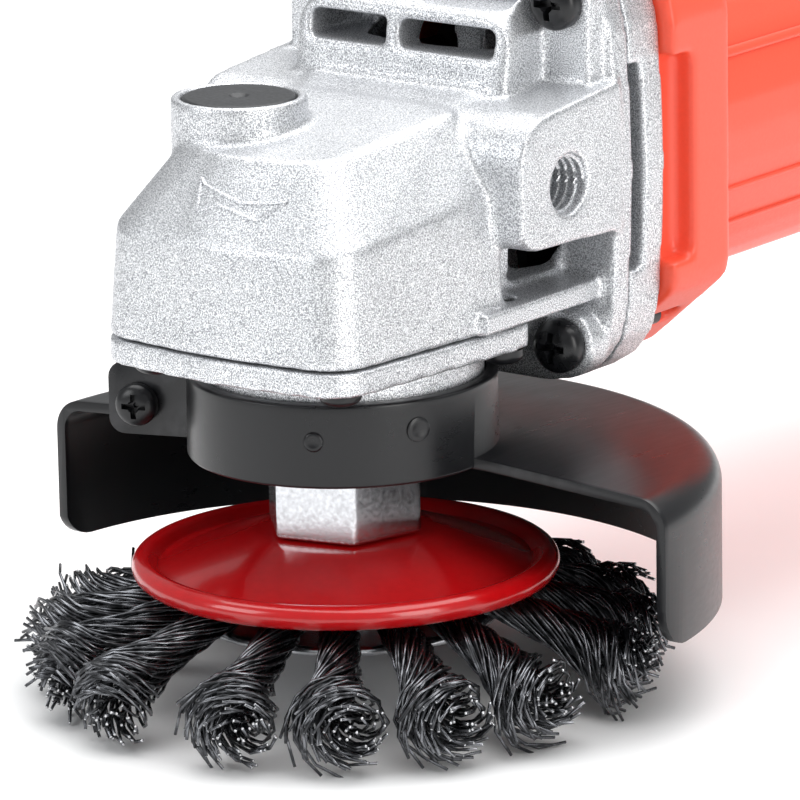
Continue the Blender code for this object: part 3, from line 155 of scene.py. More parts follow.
class GrinderStage(PropertyGroup):
    azimuth: FloatProperty(name="Azimuth", description="Turn of the camera towards the right side",
                           default=math.radians(37.3), subtype="ANGLE")
    elevation: FloatProperty(name="Elevation", description="Height of the camera as an angle",
                             default=math.radians(14.7), subtype="ANGLE")
    roll: FloatProperty(name="Roll", description="Lean of the camera", default=math.radians(-1.0),
                        subtype="ANGLE")
    distance: FloatProperty(name="Distance", description="From the camera to the guard's band",
                            default=0.970, min=0.1, unit="LENGTH")
    lens: FloatProperty(name="Lens", description="Focal length in millimetres", default=288.0, min=10.0)
    aim_right: FloatProperty(name="Aim right", description="How far right of the band the camera aims",
                             default=8.6 * MM, unit="LENGTH")
    aim_up: FloatProperty(name="Aim up", description="How far above the band's foot the camera aims",
                          default=5.7 * MM, unit="LENGTH")


# ---------------------------------------------------------------- mesh helpers

def add_piece(name, mesh, body, slot, *replaced):
    """Link a mesh as a piece that rides on a body and stands for CAD nodes."""
    piece = bpy.data.objects.new(name, mesh)
    bpy.context.scene.collection.objects.link(piece)
    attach(piece, body)
    if replaced:
        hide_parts(*replaced)
    return piece


def mesh_from(name, points, faces):
    mesh = bpy.data.meshes.new(name)
    mesh.from_pydata([tuple(point) for point in points], [], faces)
    mesh.validate()
    return mesh


def skin(rings, closed=False, capped=True):
    """Points and faces of a surface over rings of equal length."""
    points = [point for ring in rings for point in ring]
    count = len(rings[0])
    faces = []
    last = len(rings) if closed else len(rings) - 1
    for row in range(last):
        low = row * count
        high = (row + 1) % len(rings) * count
        for step in range(count):
            after = (step + 1) % count
            faces.append((low + step, low + after, high + after, high + step))
    if capped and not closed:
        faces.append(tuple(range(count - 1, -1, -1)))
        top = (len(rings) - 1) * count
        faces.append(tuple(range(top, top + count)))
    return points, faces


def skinned(name, rings, closed=False, smooth_deg=40.0):
    points, faces = skin(rings, closed)
    mesh = mesh_from(name, points, faces)
    bm = bmesh.new()
    bm.from_mesh(mesh)
    bmesh.ops.recalc_face_normals(bm, faces=bm.faces)
    bm.to_mesh(mesh)
    bm.free()
    mesh.shade_smooth()
    mesh.set_sharp_from_angle(angle=math.radians(smooth_deg))
    return mesh


def turned(name, profile, steps=96, start=0.0, end=math.tau, smooth_deg=40.0):
    """Turn a closed profile of (radius, height) about +Z."""
    full = end - start >= math.tau - 1e-6
    count = steps if full else steps + 1
    rings = []
    for step in range(count):
        angle = start + (end - start) * step / steps
        rings.append([(r * math.cos(angle), r * math.sin(angle), z) for r, z in profile])
    return skinned(name, rings, closed=full, smooth_deg=smooth_deg)


def solid_turned(name, sections, steps=64, smooth_deg=40.0):
    """A turned piece without a bore, from (radius, height) pairs."""
    rings = []
    for radius, height in sections:
        angles = [math.tau * step / steps for step in range(steps)]
        rings.append([(radius * math.cos(angle), radius * math.sin(angle), height) for angle in angles])
    return skinned(name, rings, smooth_deg=smooth_deg)


def arc(centre, radius, start_deg, end_deg, steps=8):
    """Points on an arc in a profile's plane."""
    points = []
    for step in range(steps + 1):
        angle = math.radians(start_deg + (end_deg - start_deg) * step / steps)
        points.append((centre[0] + radius * math.cos(angle), centre[1] + radius * math.sin(angle)))
    return points


def block(low, high):
    x0, y0, z0 = low
    x1, y1, z1 = high
    rings = [[(x0, y0, z), (x1, y0, z), (x1, y1, z), (x0, y1, z)] for z in (z0, z1)]
    return skinned("block", rings)


def temporary(mesh):
    made = bpy.data.objects.new("tool", mesh)
    bpy.context.scene.collection.objects.link(made)
    return made


def baked(piece):
    """The mesh that a piece's modifiers give, as plain data."""
    graph = bpy.context.evaluated_depsgraph_get()
    return bpy.data.meshes.new_from_object(piece.evaluated_get(graph))


def carved(mesh, tools, operation="DIFFERENCE"):
    """Apply Boolean tools, given as meshes, to a mesh."""
    piece = temporary(mesh)
    for tool_mesh in tools:
        tool = temporary(tool_mesh)
        modifier = piece.modifiers.new("cut", "BOOLEAN")
        modifier.operation = operation
        modifier.solver = "EXACT"
        modifier.object = tool
        piece.data = baked(piece)
        piece.modifiers.clear()
        bpy.data.objects.remove(tool, do_unlink=True)
    result = piece.data
    bpy.data.objects.remove(piece, do_unlink=True)
    result.shade_smooth()
    result.set_sharp_from_angle(angle=math.radians(35.0))
    return result


def bevelled(mesh, width, segments=3, angle_deg=30.0):
    piece = temporary(mesh)
    modifier = piece.modifiers.new("bevel", "BEVEL")
    modifier.width = width
    modifier.segments = segments
    modifier.limit_method = "ANGLE"
    modifier.angle_limit = math.radians(angle_deg)
    modifier.harden_normals = False
    modifier.use_clamp_overlap = True
    result = baked(piece)
    bpy.data.objects.remove(piece, do_unlink=True)
    result.shade_smooth()
    result.set_sharp_from_angle(angle=math.radians(50.0))
    return result


def moved(mesh, matrix):
    mesh.transform(matrix)
    return mesh


def softened(node, fineness, rounds, firmness=None):
    """A fine, evenly meshed copy of a CAD node with its edges rounded as a mould leaves them.

    firmness(point) says how much of the smoothing a place takes, from 0 to 1."""
    source = frame["nodes"][node]
    piece = temporary(source.data.copy())
    piece.matrix_world = source.matrix_world.copy()
    piece.data.transform(piece.matrix_world)
    piece.matrix_world = Matrix.Identity(4)
    weld = piece.modifiers.new("weld", "WELD")
    weld.merge_threshold = 0.00001
    remesh = piece.modifiers.new("remesh", "REMESH")
    remesh.mode = "VOXEL"
    remesh.voxel_size = fineness
    piece.data = baked(piece)
    piece.modifiers.clear()
    group = piece.vertex_groups.new(name="soft")
    if firmness is None:
        group.add(range(len(piece.data.vertices)), 1.0, "REPLACE")
    else:
        for vertex in piece.data.vertices:
            group.add((vertex.index,), firmness(vertex.co), "REPLACE")
    smooth = piece.modifiers.new("smooth", "SMOOTH")
    smooth.factor = 0.5
    smooth.iterations = rounds
    smooth.vertex_group = "soft"
    result = baked(piece)
    bpy.data.objects.remove(piece, do_unlink=True)
    result.materials.clear()
    result.shade_smooth()
    return result


def painted(mesh, *materials):
    mesh.materials.clear()
    for material in materials:
        mesh.materials.append(material)
    return mesh


def tube(points, radius, sides=8, closed=False):
    """A round bar along a list of points, as rings for skinned()."""
    rings = []
    count = len(points)
    for index, point in enumerate(points):
        here = Vector(point)
        ahead = Vector(points[(index + 1) % count]) if closed or index + 1 < count else here
        behind = Vector(points[index - 1]) if closed or index > 0 else here
        along = (ahead - behind).normalized()
        side = along.cross(Vector((0, 0, 1)))
        if side.length < 1e-6:
            side = along.cross(Vector((1, 0, 0)))
        side.normalize()
        other = along.cross(side)
        rings.append([here + side * radius * math.cos(math.tau * s / sides)
                      + other * radius * math.sin(math.tau * s / sides) for s in range(sides)])
    return rings


# ---------------------------------------------------------------- shader groups

def new_node(tree, kind, **settings):
    made = tree.nodes.new(kind)
    for key, value in settings.items():
        setattr(made, key, value)
    return made


def group_tree(name, inputs, outputs):
    """A shader node group with named sockets; returns the tree, its input and output nodes."""
    tree = bpy.data.node_groups.new(name, "ShaderNodeTree")
    for socket_name, kind, default in inputs:
        socket = tree.interface.new_socket(socket_name, in_out="INPUT", socket_type=kind)
        socket.default_value = default
    for socket_name, kind in outputs:
        tree.interface.new_socket(socket_name, in_out="OUTPUT", socket_type=kind)
    return tree, new_node(tree, "NodeGroupInput"), new_node(tree, "NodeGroupOutput")


def grain_group():
    """Blasted or moulded grain: two noises give a colour between dark and light, a roughness and a height."""
    inputs = [("Dark", "NodeSocketColor", (0.3, 0.3, 0.3, 1)),
              ("Light", "NodeSocketColor", (0.8, 0.8, 0.8, 1)),
              ("Grains", "NodeSocketFloat", 2000.0), ("Contrast", "NodeSocketFloat", 1.0),
              ("Low Roughness", "NodeSocketFloat", 0.3), ("High Roughness", "NodeSocketFloat", 0.5)]
    outputs = [("Colour", "NodeSocketColor"), ("Roughness", "NodeSocketFloat"), ("Height", "NodeSocketFloat")]
    tree, source, result = group_tree("Grain", inputs, outputs)
    place = new_node(tree, "ShaderNodeTexCoord")
    fine = new_node(tree, "ShaderNodeTexNoise")
    fine.inputs["Detail"].default_value = 1.5
    coarse = new_node(tree, "ShaderNodeTexNoise")
    coarse.inputs["Detail"].default_value = 3.0
    coarse.inputs["Scale"].default_value = 90.0
    spread = new_node(tree, "ShaderNodeMath", operation="MULTIPLY_ADD")
    spread.use_clamp = True
    lift = new_node(tree, "ShaderNodeMath", operation="MULTIPLY_ADD")
    lift.inputs[1].default_value = 0.25
    centre = new_node(tree, "ShaderNodeMath", operation="SUBTRACT")
    centre.inputs[1].default_value = 0.5
    mix = new_node(tree, "ShaderNodeMix", data_type="RGBA")
    rough = new_node(tree, "ShaderNodeMapRange")
    links = tree.links
    links.new(place.outputs["Object"], fine.inputs["Vector"])
    links.new(place.outputs["Object"], coarse.inputs["Vector"])
    links.new(source.outputs["Grains"], fine.inputs["Scale"])
    links.new(fine.outputs["Fac"], centre.inputs[0])
    links.new(centre.outputs[0], spread.inputs[0])
    links.new(source.outputs["Contrast"], spread.inputs[1])
    links.new(coarse.outputs["Fac"], lift.inputs[0])
    lift.inputs[2].default_value = 0.375
    links.new(lift.outputs[0], spread.inputs[2])
    links.new(spread.outputs[0], mix.inputs["Factor"])
    links.new(source.outputs["Dark"], mix.inputs["A"])
    links.new(source.outputs["Light"], mix.inputs["B"])
    links.new(spread.outputs[0], rough.inputs["Value"])
    links.new(source.outputs["High Roughness"], rough.inputs["To Min"])
    links.new(source.outputs["Low Roughness"], rough.inputs["To Max"])
    links.new(mix.outputs["Result"], result.inputs["Colour"])
    links.new(rough.outputs["Result"], result.inputs["Roughness"])
    links.new(fine.outputs["Fac"], result.inputs["Height"])
    return tree


def wear_group():
    """Mask that is high along sharp outer edges, broken up by noise."""
    inputs = [("Amount", "NodeSocketFloat", 1.0), ("Patches", "NodeSocketFloat", 300.0)]
    tree, source, result = group_tree("Edge wear", inputs, [("Mask", "NodeSocketFloat")])
    place = new_node(tree, "ShaderNodeTexCoord")
    shape = new_node(tree, "ShaderNodeNewGeometry")
    edge = new_node(tree, "ShaderNodeMapRange")
    edge.inputs["From Min"].default_value = 0.54
    edge.inputs["From Max"].default_value = 0.66
    patches = new_node(tree, "ShaderNodeTexNoise")
    patches.inputs["Detail"].default_value = 4.0
    torn = new_node(tree, "ShaderNodeMapRange")
    torn.inputs["From Min"].default_value = 0.42
    torn.inputs["From Max"].default_value = 0.62
    both = new_node(tree, "ShaderNodeMath", operation="MULTIPLY")
    scaled = new_node(tree, "ShaderNodeMath", operation="MULTIPLY")
    scaled.use_clamp = True
    links = tree.links
    links.new(shape.outputs["Pointiness"], edge.inputs["Value"])
    links.new(place.outputs["Object"], patches.inputs["Vector"])
    links.new(source.outputs["Patches"], patches.inputs["Scale"])
    links.new(patches.outputs["Fac"], torn.inputs["Value"])
    links.new(edge.outputs["Result"], both.inputs[0])
    links.new(torn.outputs["Result"], both.inputs[1])
    links.new(both.outputs[0], scaled.inputs[0])
    links.new(source.outputs["Amount"], scaled.inputs[1])
    links.new(scaled.outputs[0], result.inputs["Mask"])
    return tree


def smear_group():
    """Handling marks: slow clouds and fine streaks that shift the roughness."""
    inputs = [("Roughness", "NodeSocketFloat", 0.3), ("Spread", "NodeSocketFloat", 0.1),
              ("Clouds", "NodeSocketFloat", 60.0)]
    tree, source, result = group_tree("Handling marks", inputs, [("Roughness", "NodeSocketFloat"),
                                                                ("Height", "NodeSocketFloat")])
    place = new_node(tree, "ShaderNodeTexCoord")
    clouds = new_node(tree, "ShaderNodeTexNoise")
    clouds.inputs["Detail"].default_value = 5.0
    stretch = new_node(tree, "ShaderNodeMapping")
    stretch.inputs["Scale"].default_value = (1.0, 0.08, 1.0)
    streaks = new_node(tree, "ShaderNodeTexNoise")
    streaks.inputs["Scale"].default_value = 1400.0
    total = new_node(tree, "ShaderNodeMath", operation="ADD")
    shift = new_node(tree, "ShaderNodeMath", operation="MULTIPLY_ADD")
    offset = new_node(tree, "ShaderNodeMath", operation="SUBTRACT")
    offset.inputs[1].default_value = 1.0
    links = tree.links
    links.new(place.outputs["Object"], clouds.inputs["Vector"])
    links.new(place.outputs["Object"], stretch.inputs["Vector"])
    links.new(stretch.outputs["Vector"], streaks.inputs["Vector"])
    links.new(source.outputs["Clouds"], clouds.inputs["Scale"])
    links.new(clouds.outputs["Fac"], total.inputs[0])
    links.new(streaks.outputs["Fac"], total.inputs[1])
    links.new(total.outputs[0], offset.inputs[0])
    links.new(offset.outputs[0], shift.inputs[0])
    links.new(source.outputs["Spread"], shift.inputs[1])
    links.new(source.outputs["Roughness"], shift.inputs[2])
    links.new(shift.outputs[0], result.inputs["Roughness"])
    links.new(total.outputs[0], result.inputs["Height"])
    return tree


def shader_groups():
    """The three shared groups, built once."""
    makers = {"Grain": grain_group, "Edge wear": wear_group, "Handling marks": smear_group}
    return {name: bpy.data.node_groups.get(name) or maker() for name, maker in makers.items()}


def place_group(tree, name, **values):
    made = new_node(tree, "ShaderNodeGroup", node_tree=shader_groups()[name])
    for key, value in values.items():
        socket = made.inputs[key.replace("_", " ")]
        socket.default_value = (*value, 1.0) if socket.type == "RGBA" else value
    return made


def start_material(name, metallic=0.0, coat=0.0, coat_roughness=0.1, specular=0.5):
    made = bpy.data.materials.new(name)
    made.use_nodes = True
    shader = made.node_tree.nodes["Principled BSDF"]
    shader.inputs["Metallic"].default_value = metallic
    shader.inputs["Coat Weight"].default_value = coat
    shader.inputs["Specular IOR Level"].default_value = specular
    shader.inputs["Coat Roughness"].default_value = coat_roughness
    return made, made.node_tree, shader


def add_bump(tree, shader, height, strength, distance):
    bump = new_node(tree, "ShaderNodeBump")
    bump.inputs["Strength"].default_value = strength
    bump.inputs["Distance"].default_value = distance
    tree.links.new(height, bump.inputs["Height"])
    tree.links.new(bump.outputs["Normal"], shader.inputs["Normal"])


def grained(name, dark, light, grains, contrast, rough, metallic, bump, distance=0.0001, coat=0.0):
    """A material whose colour, roughness and bump all come from the grain group."""
    made, tree, shader = start_material(name, metallic, coat)
    grain = place_group(tree, "Grain", Dark=dark, Light=light, Grains=grains, Contrast=contrast,
                        Low_Roughness=rough[0], High_Roughness=rough[1])
    tree.links.new(grain.outputs["Colour"], shader.inputs["Base Color"])
    tree.links.new(grain.outputs["Roughness"], shader.inputs["Roughness"])
    add_bump(tree, shader, grain.outputs["Height"], bump, distance)
    return made


def worn(name, base, bare, grains, rough, spread, wear, coat=0.0, bump=0.06, specular=0.5):
    """Paint or lacquer over metal: slight grain, handling marks, and bare edges."""
    made, tree, shader = start_material(name, 0.0, coat, 0.06, specular)
    low = tuple(channel * 0.86 for channel in base)
    high = tuple(min(1.0, channel * 1.12) for channel in base)
    grain = place_group(tree, "Grain", Dark=low, Light=high, Grains=grains, Contrast=0.9,
                        Low_Roughness=rough, High_Roughness=rough + 0.05)
    marks = place_group(tree, "Handling marks", Roughness=rough, Spread=spread, Clouds=70.0)
    edge = place_group(tree, "Edge wear", Amount=wear, Patches=420.0)
    mix = new_node(tree, "ShaderNodeMix", data_type="RGBA")
    mix.inputs["B"].default_value = (*bare, 1.0)
    tree.links.new(edge.outputs["Mask"], mix.inputs["Factor"])
    tree.links.new(grain.outputs["Colour"], mix.inputs["A"])
    tree.links.new(mix.outputs["Result"], shader.inputs["Base Color"])
    tree.links.new(marks.outputs["Roughness"], shader.inputs["Roughness"])
    add_bump(tree, shader, grain.outputs["Height"], bump, 0.00005)
    return made


FINISHES = {}


def finish_of(slot):
    """The material of one of the record's slots, made on first use."""
    if slot in FINISHES:
        return FINISHES[slot]
    scene = bpy.context.scene
    cast = scene.grinder_castings
    mould = scene.grinder_mouldings
    brush = scene.grinder_brush
    guard = scene.grinder_guard
    black = tuple(mould.black)
    red = tuple(mould.red)
    makers = {
        "cast_aluminium": lambda: grained(slot, tuple(cast.dark), tuple(cast.light), cast.grain, 5.0,
                                          (0.36, 0.55), 0.85, 0.5),
        "red_housing": lambda: grained(slot, tuple(c * 0.94 for c in red), red, mould.texture, 1.6,
                                       (0.34, 0.44), 0.0, 0.10, coat=0.12),
        "black_plastic": lambda: grained(slot, tuple(c * 0.7 for c in black), tuple(c * 1.5 for c in black),
                                         mould.texture, 1.6, (0.34, 0.46), 0.0, 0.12),
        "black_enamel": lambda: worn(slot, tuple(guard.enamel), (0.05, 0.05, 0.055), 900.0, 0.3, 0.10, 0.5,
                                     specular=0.42),
        "red_lacquer": lambda: worn(slot, tuple(brush.lacquer), (0.34, 0.02, 0.02), 700.0, 0.2, 0.08, 0.4,
                                    coat=0.35),
        "bright_steel": lambda: grained(slot, (0.46, 0.47, 0.49), (0.74, 0.75, 0.78), 1500.0, 1.4,
                                        (0.14, 0.28), 1.0, 0.05),
        "dark_wire": lambda: grained(slot, tuple(c * 0.25 for c in brush.wire), tuple(brush.wire), 500.0, 4.0,
                                     (0.2, 0.36), 1.0, 0.04),
        "cut_wire": lambda: grained(slot, (0.45, 0.45, 0.46), (0.85, 0.86, 0.88), 2500.0, 2.0,
                                    (0.25, 0.4), 1.0, 0.05),
        "core_iron": lambda: grained(slot, (0.09, 0.09, 0.1), (0.26, 0.26, 0.28), 1200.0, 2.0,
                                     (0.35, 0.6), 0.9, 0.2),
        "copper": lambda: grained(slot, (0.42, 0.15, 0.05), (0.80, 0.36, 0.16), 1600.0, 2.0,
                                  (0.2, 0.4), 1.0, 0.2),
        "brass": lambda: grained(slot, (0.55, 0.38, 0.12), (0.80, 0.62, 0.26), 900.0, 1.4,
                                 (0.22, 0.36), 1.0, 0.06),
        "graphite": lambda: grained(slot, (0.012, 0.012, 0.013), (0.05, 0.05, 0.05), 2500.0, 2.0,
                                    (0.45, 0.65), 0.2, 0.2),
    }
    FINISHES[slot] = makers[slot]()
    return FINISHES[slot]


# ---------------------------------------------------------------- the gear head's castings

SEAM_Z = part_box("bearing_cover")[1].z
FLANGE_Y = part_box("motor_flange")[0].y
THREAD_CREST = 4.45 * MM              # radius of the side-handle thread's crest line


def casting_firmness(point):
    """Machined faces stay crisp: the seam under the head and the joints of the rear flange."""
    from_seam = abs(point.z - SEAM_Z) / (2.2 * MM)
    from_flange = abs(point.y - FLANGE_Y) / (2.0 * MM)
    return max(0.12, min(1.0, from_seam, from_flange))


ARROW = ((-6.3, 60.4), (-4.7, 55.9), (-1.4, 57.3), (6.2, 55.9), (10.0, 58.6), (2.6, 57.9), (-5.0, 59.5))
ARROW_BEAD = 0.34


def add_arrow(head, finish):
    """Raised outline of a plain arrow cast into the front slope."""
    corners = [(x * MM, z * MM) for x, z in ARROW]
    line = []
    for index, corner in enumerate(corners):
        after = corners[(index + 1) % len(corners)]
        for step in range(8):
            x = corner[0] + (after[0] - corner[0]) * step / 8
            z = corner[1] + (after[1] - corner[1]) * step / 8
            hit = head.ray_cast(Vector((x, -0.2, z)), Vector((0, 1, 0)))[0]
            line.append(hit)
    mesh = skinned("arrow", tube(line, ARROW_BEAD * MM, 8, closed=True), closed=True)
    add_piece("rotation_arrow", painted(mesh, finish), "housing", "cast_aluminium")


def handle_thread(side):
    """Helical ridge of the tapped hole for the side handle."""
    hole_y = HANDLE_HOLE[0]
    hole_z = HANDLE_HOLE[1]
    pitch = 1.5 * MM
    turns = 7
    per_turn = 28
    line = []
    for step in range(turns * per_turn + 1):
        angle = math.tau * step / per_turn
        along = HANDLE_FACE - 0.9 * MM - pitch * step / per_turn
        line.append((side * along, hole_y + THREAD_CREST * math.cos(angle),
                     hole_z + THREAD_CREST * math.sin(angle)))
    return skinned("thread", tube(line, 0.42 * MM, 6))


class GRINDER_OT_castings(Operator):
    """Gear housing, bearing cover and motor flange as sand-blasted castings"""
    bl_idname = "grinder.castings"
    bl_label = "Castings"

    def execute(self, context):
        sizes = context.scene.grinder_castings
        finish = finish_of("cast_aluminium")
        rounds = {"gear_housing": sizes.softness, "bearing_cover": 3, "motor_flange": 3}
        for node, softness in rounds.items():
            mesh = softened(node, sizes.fineness, softness, casting_firmness)
            add_piece(f"{node}_casting", painted(mesh, finish), "housing", "cast_aluminium", node)
            if node == "gear_housing":
                points = [vertex.co for vertex in mesh.vertices]
                faces = [face.vertices for face in mesh.polygons]
                add_arrow(BVHTree.FromPolygons(points, faces), finish)
        for side in (-1, 1):
            mesh = painted(handle_thread(side), finish)
            add_piece(f"handle_thread_{'left' if side < 0 else 'right'}", mesh, "housing", "cast_aluminium")
        return {"FINISHED"}


# ---------------------------------------------------------------- the red mouldings

BARREL_RIBS = ((12.2, 0.8), (-9.0, 0.35), (-15.4, 0.35))


class GRINDER_OT_mouldings(Operator):
    """Motor housing and rear cover as satin red mouldings"""
    bl_idname = "grinder.mouldings"
    bl_label = "Mouldings"

    def execute(self, context):
        finish = finish_of("red_housing")
        for node in ("motor_housing", "rear_cover"):
            mesh = softened(node, 0.8 * MM, 5)
            add_piece(f"{node}_moulding", painted(mesh, finish), "housing", "red_housing", node)
        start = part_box("motor_flange")[1].y + 15 * MM
        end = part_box("rear_cover")[0].y - 2 * MM
        for side in (-1, 1):
            for number, (rise, width) in enumerate(BARREL_RIBS):
                angle = math.asin(rise * MM / BARREL_R)
                angle = angle if side > 0 else math.pi - angle
                rings = []
                for y in (start, end):
                    ring = []
                    for radius, turn in ((BARREL_R - 1.0 * MM, -1), (BARREL_R + 0.25 * MM, -1),
                                         (BARREL_R + 0.45 * MM, -0.6), (BARREL_R + 0.45 * MM, 0.6),
                                         (BARREL_R + 0.25 * MM, 1), (BARREL_R - 1.0 * MM, 1)):
                        at = angle + turn * width * MM / BARREL_R
                        ring.append((radius * math.cos(at), y, MOTOR_Z + radius * math.sin(at)))
                    rings.append(ring)
                mesh = skinned("rib", rings, smooth_deg=60)
                name = f"barrel_rib_{'left' if side < 0 else 'right'}_{number + 1}"
                add_piece(name, painted(mesh, finish), "housing", "red_housing")
        return {"FINISHED"}


# ---------------------------------------------------------------- guard

BAND_R = 23.7 * MM
BAND_T = 1.8 * MM
PLATE_Z = BAND_TOP - 11.2 * MM
EAR_TURN = math.radians(200.0)
GUARD_START = math.radians(3.0)
GUARD_END = math.radians(179.5)


def guard_sheet_mesh(sheet, start, end):
    """Plate, round shoulder and wall as one sheet, with its free lower corners cut off."""
    drop_z = PLATE_Z - 2.0 * MM
    shoulder = 5.0 * MM
    wide = GUARD_R
    outer = [(BAND_R - 0.9 * MM, PLATE_Z), (BAND_R + 3 * MM, PLATE_Z - 0.1 * MM)]
    outer += arc((wide - shoulder, drop_z - shoulder), shoulder, 88, 0, 14)
    outer.append((wide, GUARD_BOTTOM))
    inner = [(wide - sheet, GUARD_BOTTOM)]
    inner += arc((wide - shoulder, drop_z - shoulder), shoulder - sheet, 0, 88, 14)
    inner += [(BAND_R + 3 * MM, PLATE_Z - 0.1 * MM - sheet), (BAND_R - 0.9 * MM, PLATE_Z - sheet)]
    shell = turned("shell", outer + inner, 150, start, end, 50)
    cuts = []
    for side, edge in ((1, math.sin(start) * wide), (-1, 0.0)):
        wedge = [(edge - 3 * MM, GUARD_BOTTOM - 3 * MM), (edge + 7 * MM, GUARD_BOTTOM - 3 * MM)]
        wedge += arc((edge + 6 * MM, GUARD_BOTTOM + 6 * MM), 6 * MM, -90, -180, 8)
        wedge.append((edge - 3 * MM, GUARD_BOTTOM + 6 * MM))
        low = min(side * (wide - 8 * MM), side * (wide + 3 * MM))
        high = max(side * (wide - 8 * MM), side * (wide + 3 * MM))
        cuts.append(skinned("wedge", [[(x, y, z) for y, z in wedge] for x in (low, high)]))
    return carved(shell, cuts)


def band_mesh():
    """The clamping band round the head's neck, with a slightly flared foot."""
    profile = [(BAND_R - BAND_T, PLATE_Z - 1.6 * MM), (BAND_R - 0.3 * MM, PLATE_Z - 1.6 * MM)]
    profile += arc((BAND_R - 0.5 * MM, PLATE_Z - 1.1 * MM), 0.5 * MM, -60, 0, 3)
    profile += [(BAND_R - 0.12 * MM, BAND_TOP - 1.5 * MM)]
    profile += arc((BAND_R - 0.6 * MM, BAND_TOP - 0.6 * MM), 0.5 * MM, 0, 90, 4)
    profile += [(BAND_R - BAND_T, BAND_TOP)]
    return turned("band", profile, 144, smooth_deg=50)


def ear_mesh():
    """Both clamp ears as one block, before the slit parts them."""
    low = PLATE_Z - 0.5 * MM
    high = BAND_TOP - 0.4 * MM
    outline = [(BAND_R - 1.2 * MM, low)] + arc((33.8 * MM, low + 2.5 * MM), 2.5 * MM, -90, 0, 6)
    outline += arc((33.8 * MM, high - 2.5 * MM), 2.5 * MM, 0, 90, 6) + [(BAND_R - 1.2 * MM, high)]
    mesh = skinned("ears", [[(x, y, z) for x, z in outline] for y in (-3.5 * MM, 3.5 * MM)])
    mesh.transform(Matrix.Rotation(EAR_TURN, 4, "Z"))
    return mesh


class GRINDER_OT_guard(Operator):
    """Pressed guard with its band, clamp ears and dimples"""
    bl_idname = "grinder.guard"
    bl_label = "Guard"

    def execute(self, context):
        finish = finish_of("black_enamel")
        sheet = context.scene.grinder_guard.sheet
        shell = guard_sheet_mesh(sheet, GUARD_START, GUARD_END)
        band = band_mesh()
        ears = ear_mesh()
        mesh = carved(band, [shell, ears], "UNION")
        slit = block((BAND_R - 4 * MM, -1.5 * MM, PLATE_Z - 4 * MM), (40 * MM, 1.5 * MM, BAND_TOP + 2 * MM))
        slit.transform(Matrix.Rotation(EAR_TURN, 4, "Z"))
        mesh = carved(mesh, [slit])
        mesh = bevelled(mesh, 0.35 * MM, 2, 35.0)
        add_piece("guard_sheet", painted(mesh, finish), "guard", "black_enamel", "guard_shell")
        for number, (turn, rise, radius) in enumerate(((-63.0, 5.6, 1.5), (-24.0, 6.6, 1.9))):
            dimple = solid_turned("dimple", [(radius * MM, -0.4 * MM), (radius * MM, 0.1 * MM),
                                             (radius * 0.8 * MM, 0.28 * MM), (radius * 0.55 * MM, 0.22 * MM),
                                             (radius * 0.3 * MM, 0.1 * MM)], 24, 60)
            dimple.transform(Matrix.Rotation(math.radians(turn), 4, "Z")
                             @ Matrix.Translation((BAND_R, 0, PLATE_Z + rise * MM))
                             @ Matrix.Rotation(math.pi / 2, 4, "Y"))
            add_piece(f"band_dimple_{number + 1}", painted(dimple, finish), "guard", "black_enamel")
        return {"FINISHED"}


# ---------------------------------------------------------------- brush

def knot_centre(share):
    """Centre line of a knot, as (radius, height), from between the discs to its tips."""
    radius = (19.5 + 29.6 * share) * MM
    return radius, (-5.9 - 11.0 * share ** 1.15) * MM


def swell(share, values):
    """Read a size along a knot from values given at even shares."""
    place = share * (len(values) - 1)
    index = min(int(place), len(values) - 2)
    part = place - index
    part = part * part * (3 - 2 * part)
    return (values[index] * (1 - part) + values[index + 1] * part) * MM


HALF_WIDTHS = (2.7, 3.0, 3.1, 3.4, 4.6, 7.0, 8.3)
HALF_DEPTHS = (2.4, 2.5, 2.7, 3.1, 4.3, 6.4, 7.2)


def knot_mesh(name, turn, sizes, dice):
    """All wires of one twisted knot in one mesh; their cut ends take the second material."""
    points = []
    faces = []
    ends = []
    stations = 17
    sides = 5
    width = sizes.wire_width / 2
    for wire in range(sizes.wires):
        spread = math.sqrt((wire + 0.5) / sizes.wires)
        start = wire * 2.39996 + dice.uniform(-0.15, 0.15)
        length = 1.0 - dice.uniform(0.0, 0.06)
        curl = dice.uniform(0.7, 1.25)
        stray = Vector((dice.gauss(0, 0.5), dice.gauss(0, 0.6), dice.gauss(0, 0.6))) * MM
        line = []
        for station in range(stations):
            share = length * station / (stations - 1)
            flare = max(0.0, (share - 0.62) / 0.38)
            radius, height = knot_centre(share)
            angle = start + math.tau * sizes.twist * share + curl * flare ** 2
            side = swell(share, HALF_WIDTHS) * spread * math.cos(angle)
            rise = swell(share, HALF_DEPTHS) * spread * math.sin(angle)
            back = (4.2 * spread ** 2 - 1.0) * MM * flare ** 1.6
            wobble = stray * flare ** 1.5
            line.append(Vector((radius - back + 0.25 * rise, side, height + rise)) + wobble)
        first = len(points)
        for ring in tube(line, width, sides):
            points.extend(ring)
        for row in range(stations - 1):
            low = first + row * sides
            for step in range(sides):
                after = (step + 1) % sides
                faces.append((low + step, low + after, low + sides + after, low + sides + step))
        last = first + (stations - 1) * sides
        ends.append(len(faces))
        faces.append(tuple(range(last, last + sides)))
        faces.append(tuple(range(first + sides - 1, first - 1, -1)))
    mesh = bpy.data.meshes.new(name)
    mesh.from_pydata([tuple(point) for point in points], [], faces)
    mesh.transform(Matrix.Rotation(turn, 4, "Z"))
    mesh.shade_smooth()
    painted(mesh, finish_of("dark_wire"), finish_of("cut_wire"))
    for index in ends:
        mesh.polygons[index].material_index = 1
    return mesh


